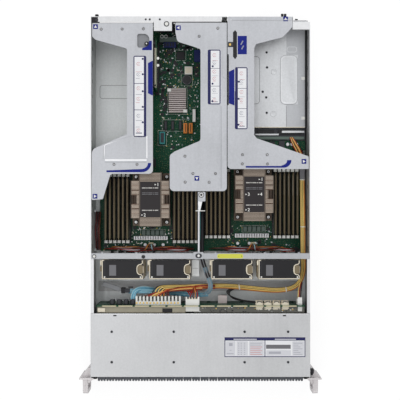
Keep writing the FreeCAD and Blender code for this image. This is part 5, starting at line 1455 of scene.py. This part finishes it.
# rear corner, board edge sockets before the ports, cover slots, the right ear's catch, ends of the drive row
rearCorner = [plate((-217.4, 707.5, 66), (-202.6, 718.6, 84.6), "black", 0.3),
              roundPiece(3.2, (-206.4, 713, 84.6), 1.6, "slate", sides=18, bevel=0.4)]
ride(smooth(joined(rearCorner, "rearCorner")), "chassis")
edgeBlocks = [plate((-76, 669, boardTop), (-50, 679, boardTop + 15), "darkBlue", 0.4),
              plate((-84, 680, boardTop), (-46, 690, boardTop + 13), "coil", 0.4),
              plate((-42, 676, boardTop), (-16, 690, boardTop + 14), "slate", 0.4),
              plate((-70, 656, boardTop), (-58, 664, boardTop + 5), "chip", 0.3)]
edgeBlocks += [strip(arc(x, 691, 3.2, 0, 350, 16), 1.0, boardTop + 13, 0.3, "white") for x in (-79, -71)]
edgeBlocks += [plate((x, 670.5, boardTop + 15), (x + 3, 677.5, boardTop + 15.3), "black", 0.1)
               for x in (-74, -68.5, -63, -57.5)]
ride(joined(edgeBlocks, "boardEdgeSockets"), "chassis")
coverSlots = [plate((x - 3.2, 123.2, coverTop), (x + 3.2, 125.8, coverTop + 0.05), "black", 0.01)
              for x in (-170.2, 167.2)]
coverSlots.append(strip([(-213, 127.9), (213, 127.9)], 0.9, coverTop, 0.05, "foldLight"))
ride(joined(coverSlots, "coverSlots"), "chassis")
earCatch = [plate((219.6, 8, 52), (226.4, 17.6, 83), "black", 0.8),
            plate((221, 4, 58), (225, 8.2, 78), "slate", 0.5)]
ride(smooth(joined(earCatch, "earCatch")), "chassis")
bezelEnds = [plate((x, -3.2, 8), (x + 6.2, 0.2, 80), "black", 0.4) for x in (-213, 206.8)]
ride(smooth(joined(bezelEnds, "bezelEnds")), "chassis")
print("corner pieces built")


def seenRays(tree):  # 1 for rays from the camera, a glossy or a clear surface, else 0
    path = tree.nodes.new("ShaderNodeLightPath")
    seen = [Wave(tree, path.outputs[name])
            for name in ("Is Camera Ray", "Is Glossy Ray", "Is Transmission Ray")]
    return (seen[0] + seen[1] + seen[2]) > 0.5


studio = {"lens": 83.7, "cameraX": -0.0008, "height": 1.937, "ahead": 0.3545, "floor": 12.0,
          "floorGlow": 1.08, "floorSeen": 0.82, "floorTone": (0.86, 0.86, 0.87, 1),
          "skySeen": 0.61, "skyLight": 0.39,
          "lamps": {"key": ((-0.9, 0.0, 1.9), 1.6, 12.0), "fill": ((1.1, 0.9, 1.8), 1.6, 8.2),
                    "front": ((0.0, -1.6, 0.9), 1.4, 8.0), "rear": ((0.1, 1.9, 1.3), 1.2, 9.0)}}


def buildStudio():  # floor, sky, four lamps (place, size, power) and the camera
    bpy.ops.mesh.primitive_plane_add(size=studio["floor"], location=(0, studio["ahead"], -0.0005))
    floor = bpy.context.object
    floor.name = floor.data.name = "studioFloor"
    look = bpy.data.materials.new("Studio floor")
    look.use_nodes = True
    tree = look.node_tree
    tree.nodes.clear()
    glow = tree.nodes.new("ShaderNodeEmission")
    glow.inputs["Color"].default_value = (1, 1, 1, 1)
    glow.inputs["Strength"].default_value = studio["floorGlow"]
    matt = tree.nodes.new("ShaderNodeBsdfDiffuse")
    matt.inputs["Color"].default_value = studio["floorTone"]
    blend = tree.nodes.new("ShaderNodeMixShader")
    ending = tree.nodes.new("ShaderNodeOutputMaterial")
    tree.links.new((seenRays(tree) * studio["floorSeen"]).socket, blend.inputs[0])
    tree.links.new(matt.outputs[0], blend.inputs[1])
    tree.links.new(glow.outputs[0], blend.inputs[2])
    tree.links.new(blend.outputs[0], ending.inputs[0])
    floor.data.materials.append(look)

    world = bpy.data.worlds.new("studio")
    bpy.context.scene.world = world
    world.use_nodes = True
    sky = world.node_tree.nodes["Background"]
    sky.inputs["Color"].default_value = (1, 1, 1, 1)
    strength = seenRays(world.node_tree) * studio["skySeen"] + studio["skyLight"]
    world.node_tree.links.new(strength.socket, sky.inputs["Strength"])

    aim = Vector((0, studio["ahead"], 0.04))
    for name, (place, size, power) in studio["lamps"].items():
        lamp = bpy.data.lights.new(name, "AREA")
        lamp.size = size
        lamp.energy = power
        holder = bpy.data.objects.new(name, lamp)
        holder.location = place
        holder.rotation_euler = (aim - Vector(place)).to_track_quat("-Z", "Y").to_euler()
        bpy.context.scene.collection.objects.link(holder)

    camera = bpy.data.objects.new("camera", bpy.data.cameras.new("camera"))
    camera.data.lens = studio["lens"]
    camera.data.sensor_width = 36
    camera.location = (studio["cameraX"], studio["ahead"], studio["height"])
    bpy.context.scene.collection.objects.link(camera)
    bpy.context.scene.camera = camera


buildStudio()
bpy.context.scene.view_settings.view_transform = "Standard"
print("studio ready")
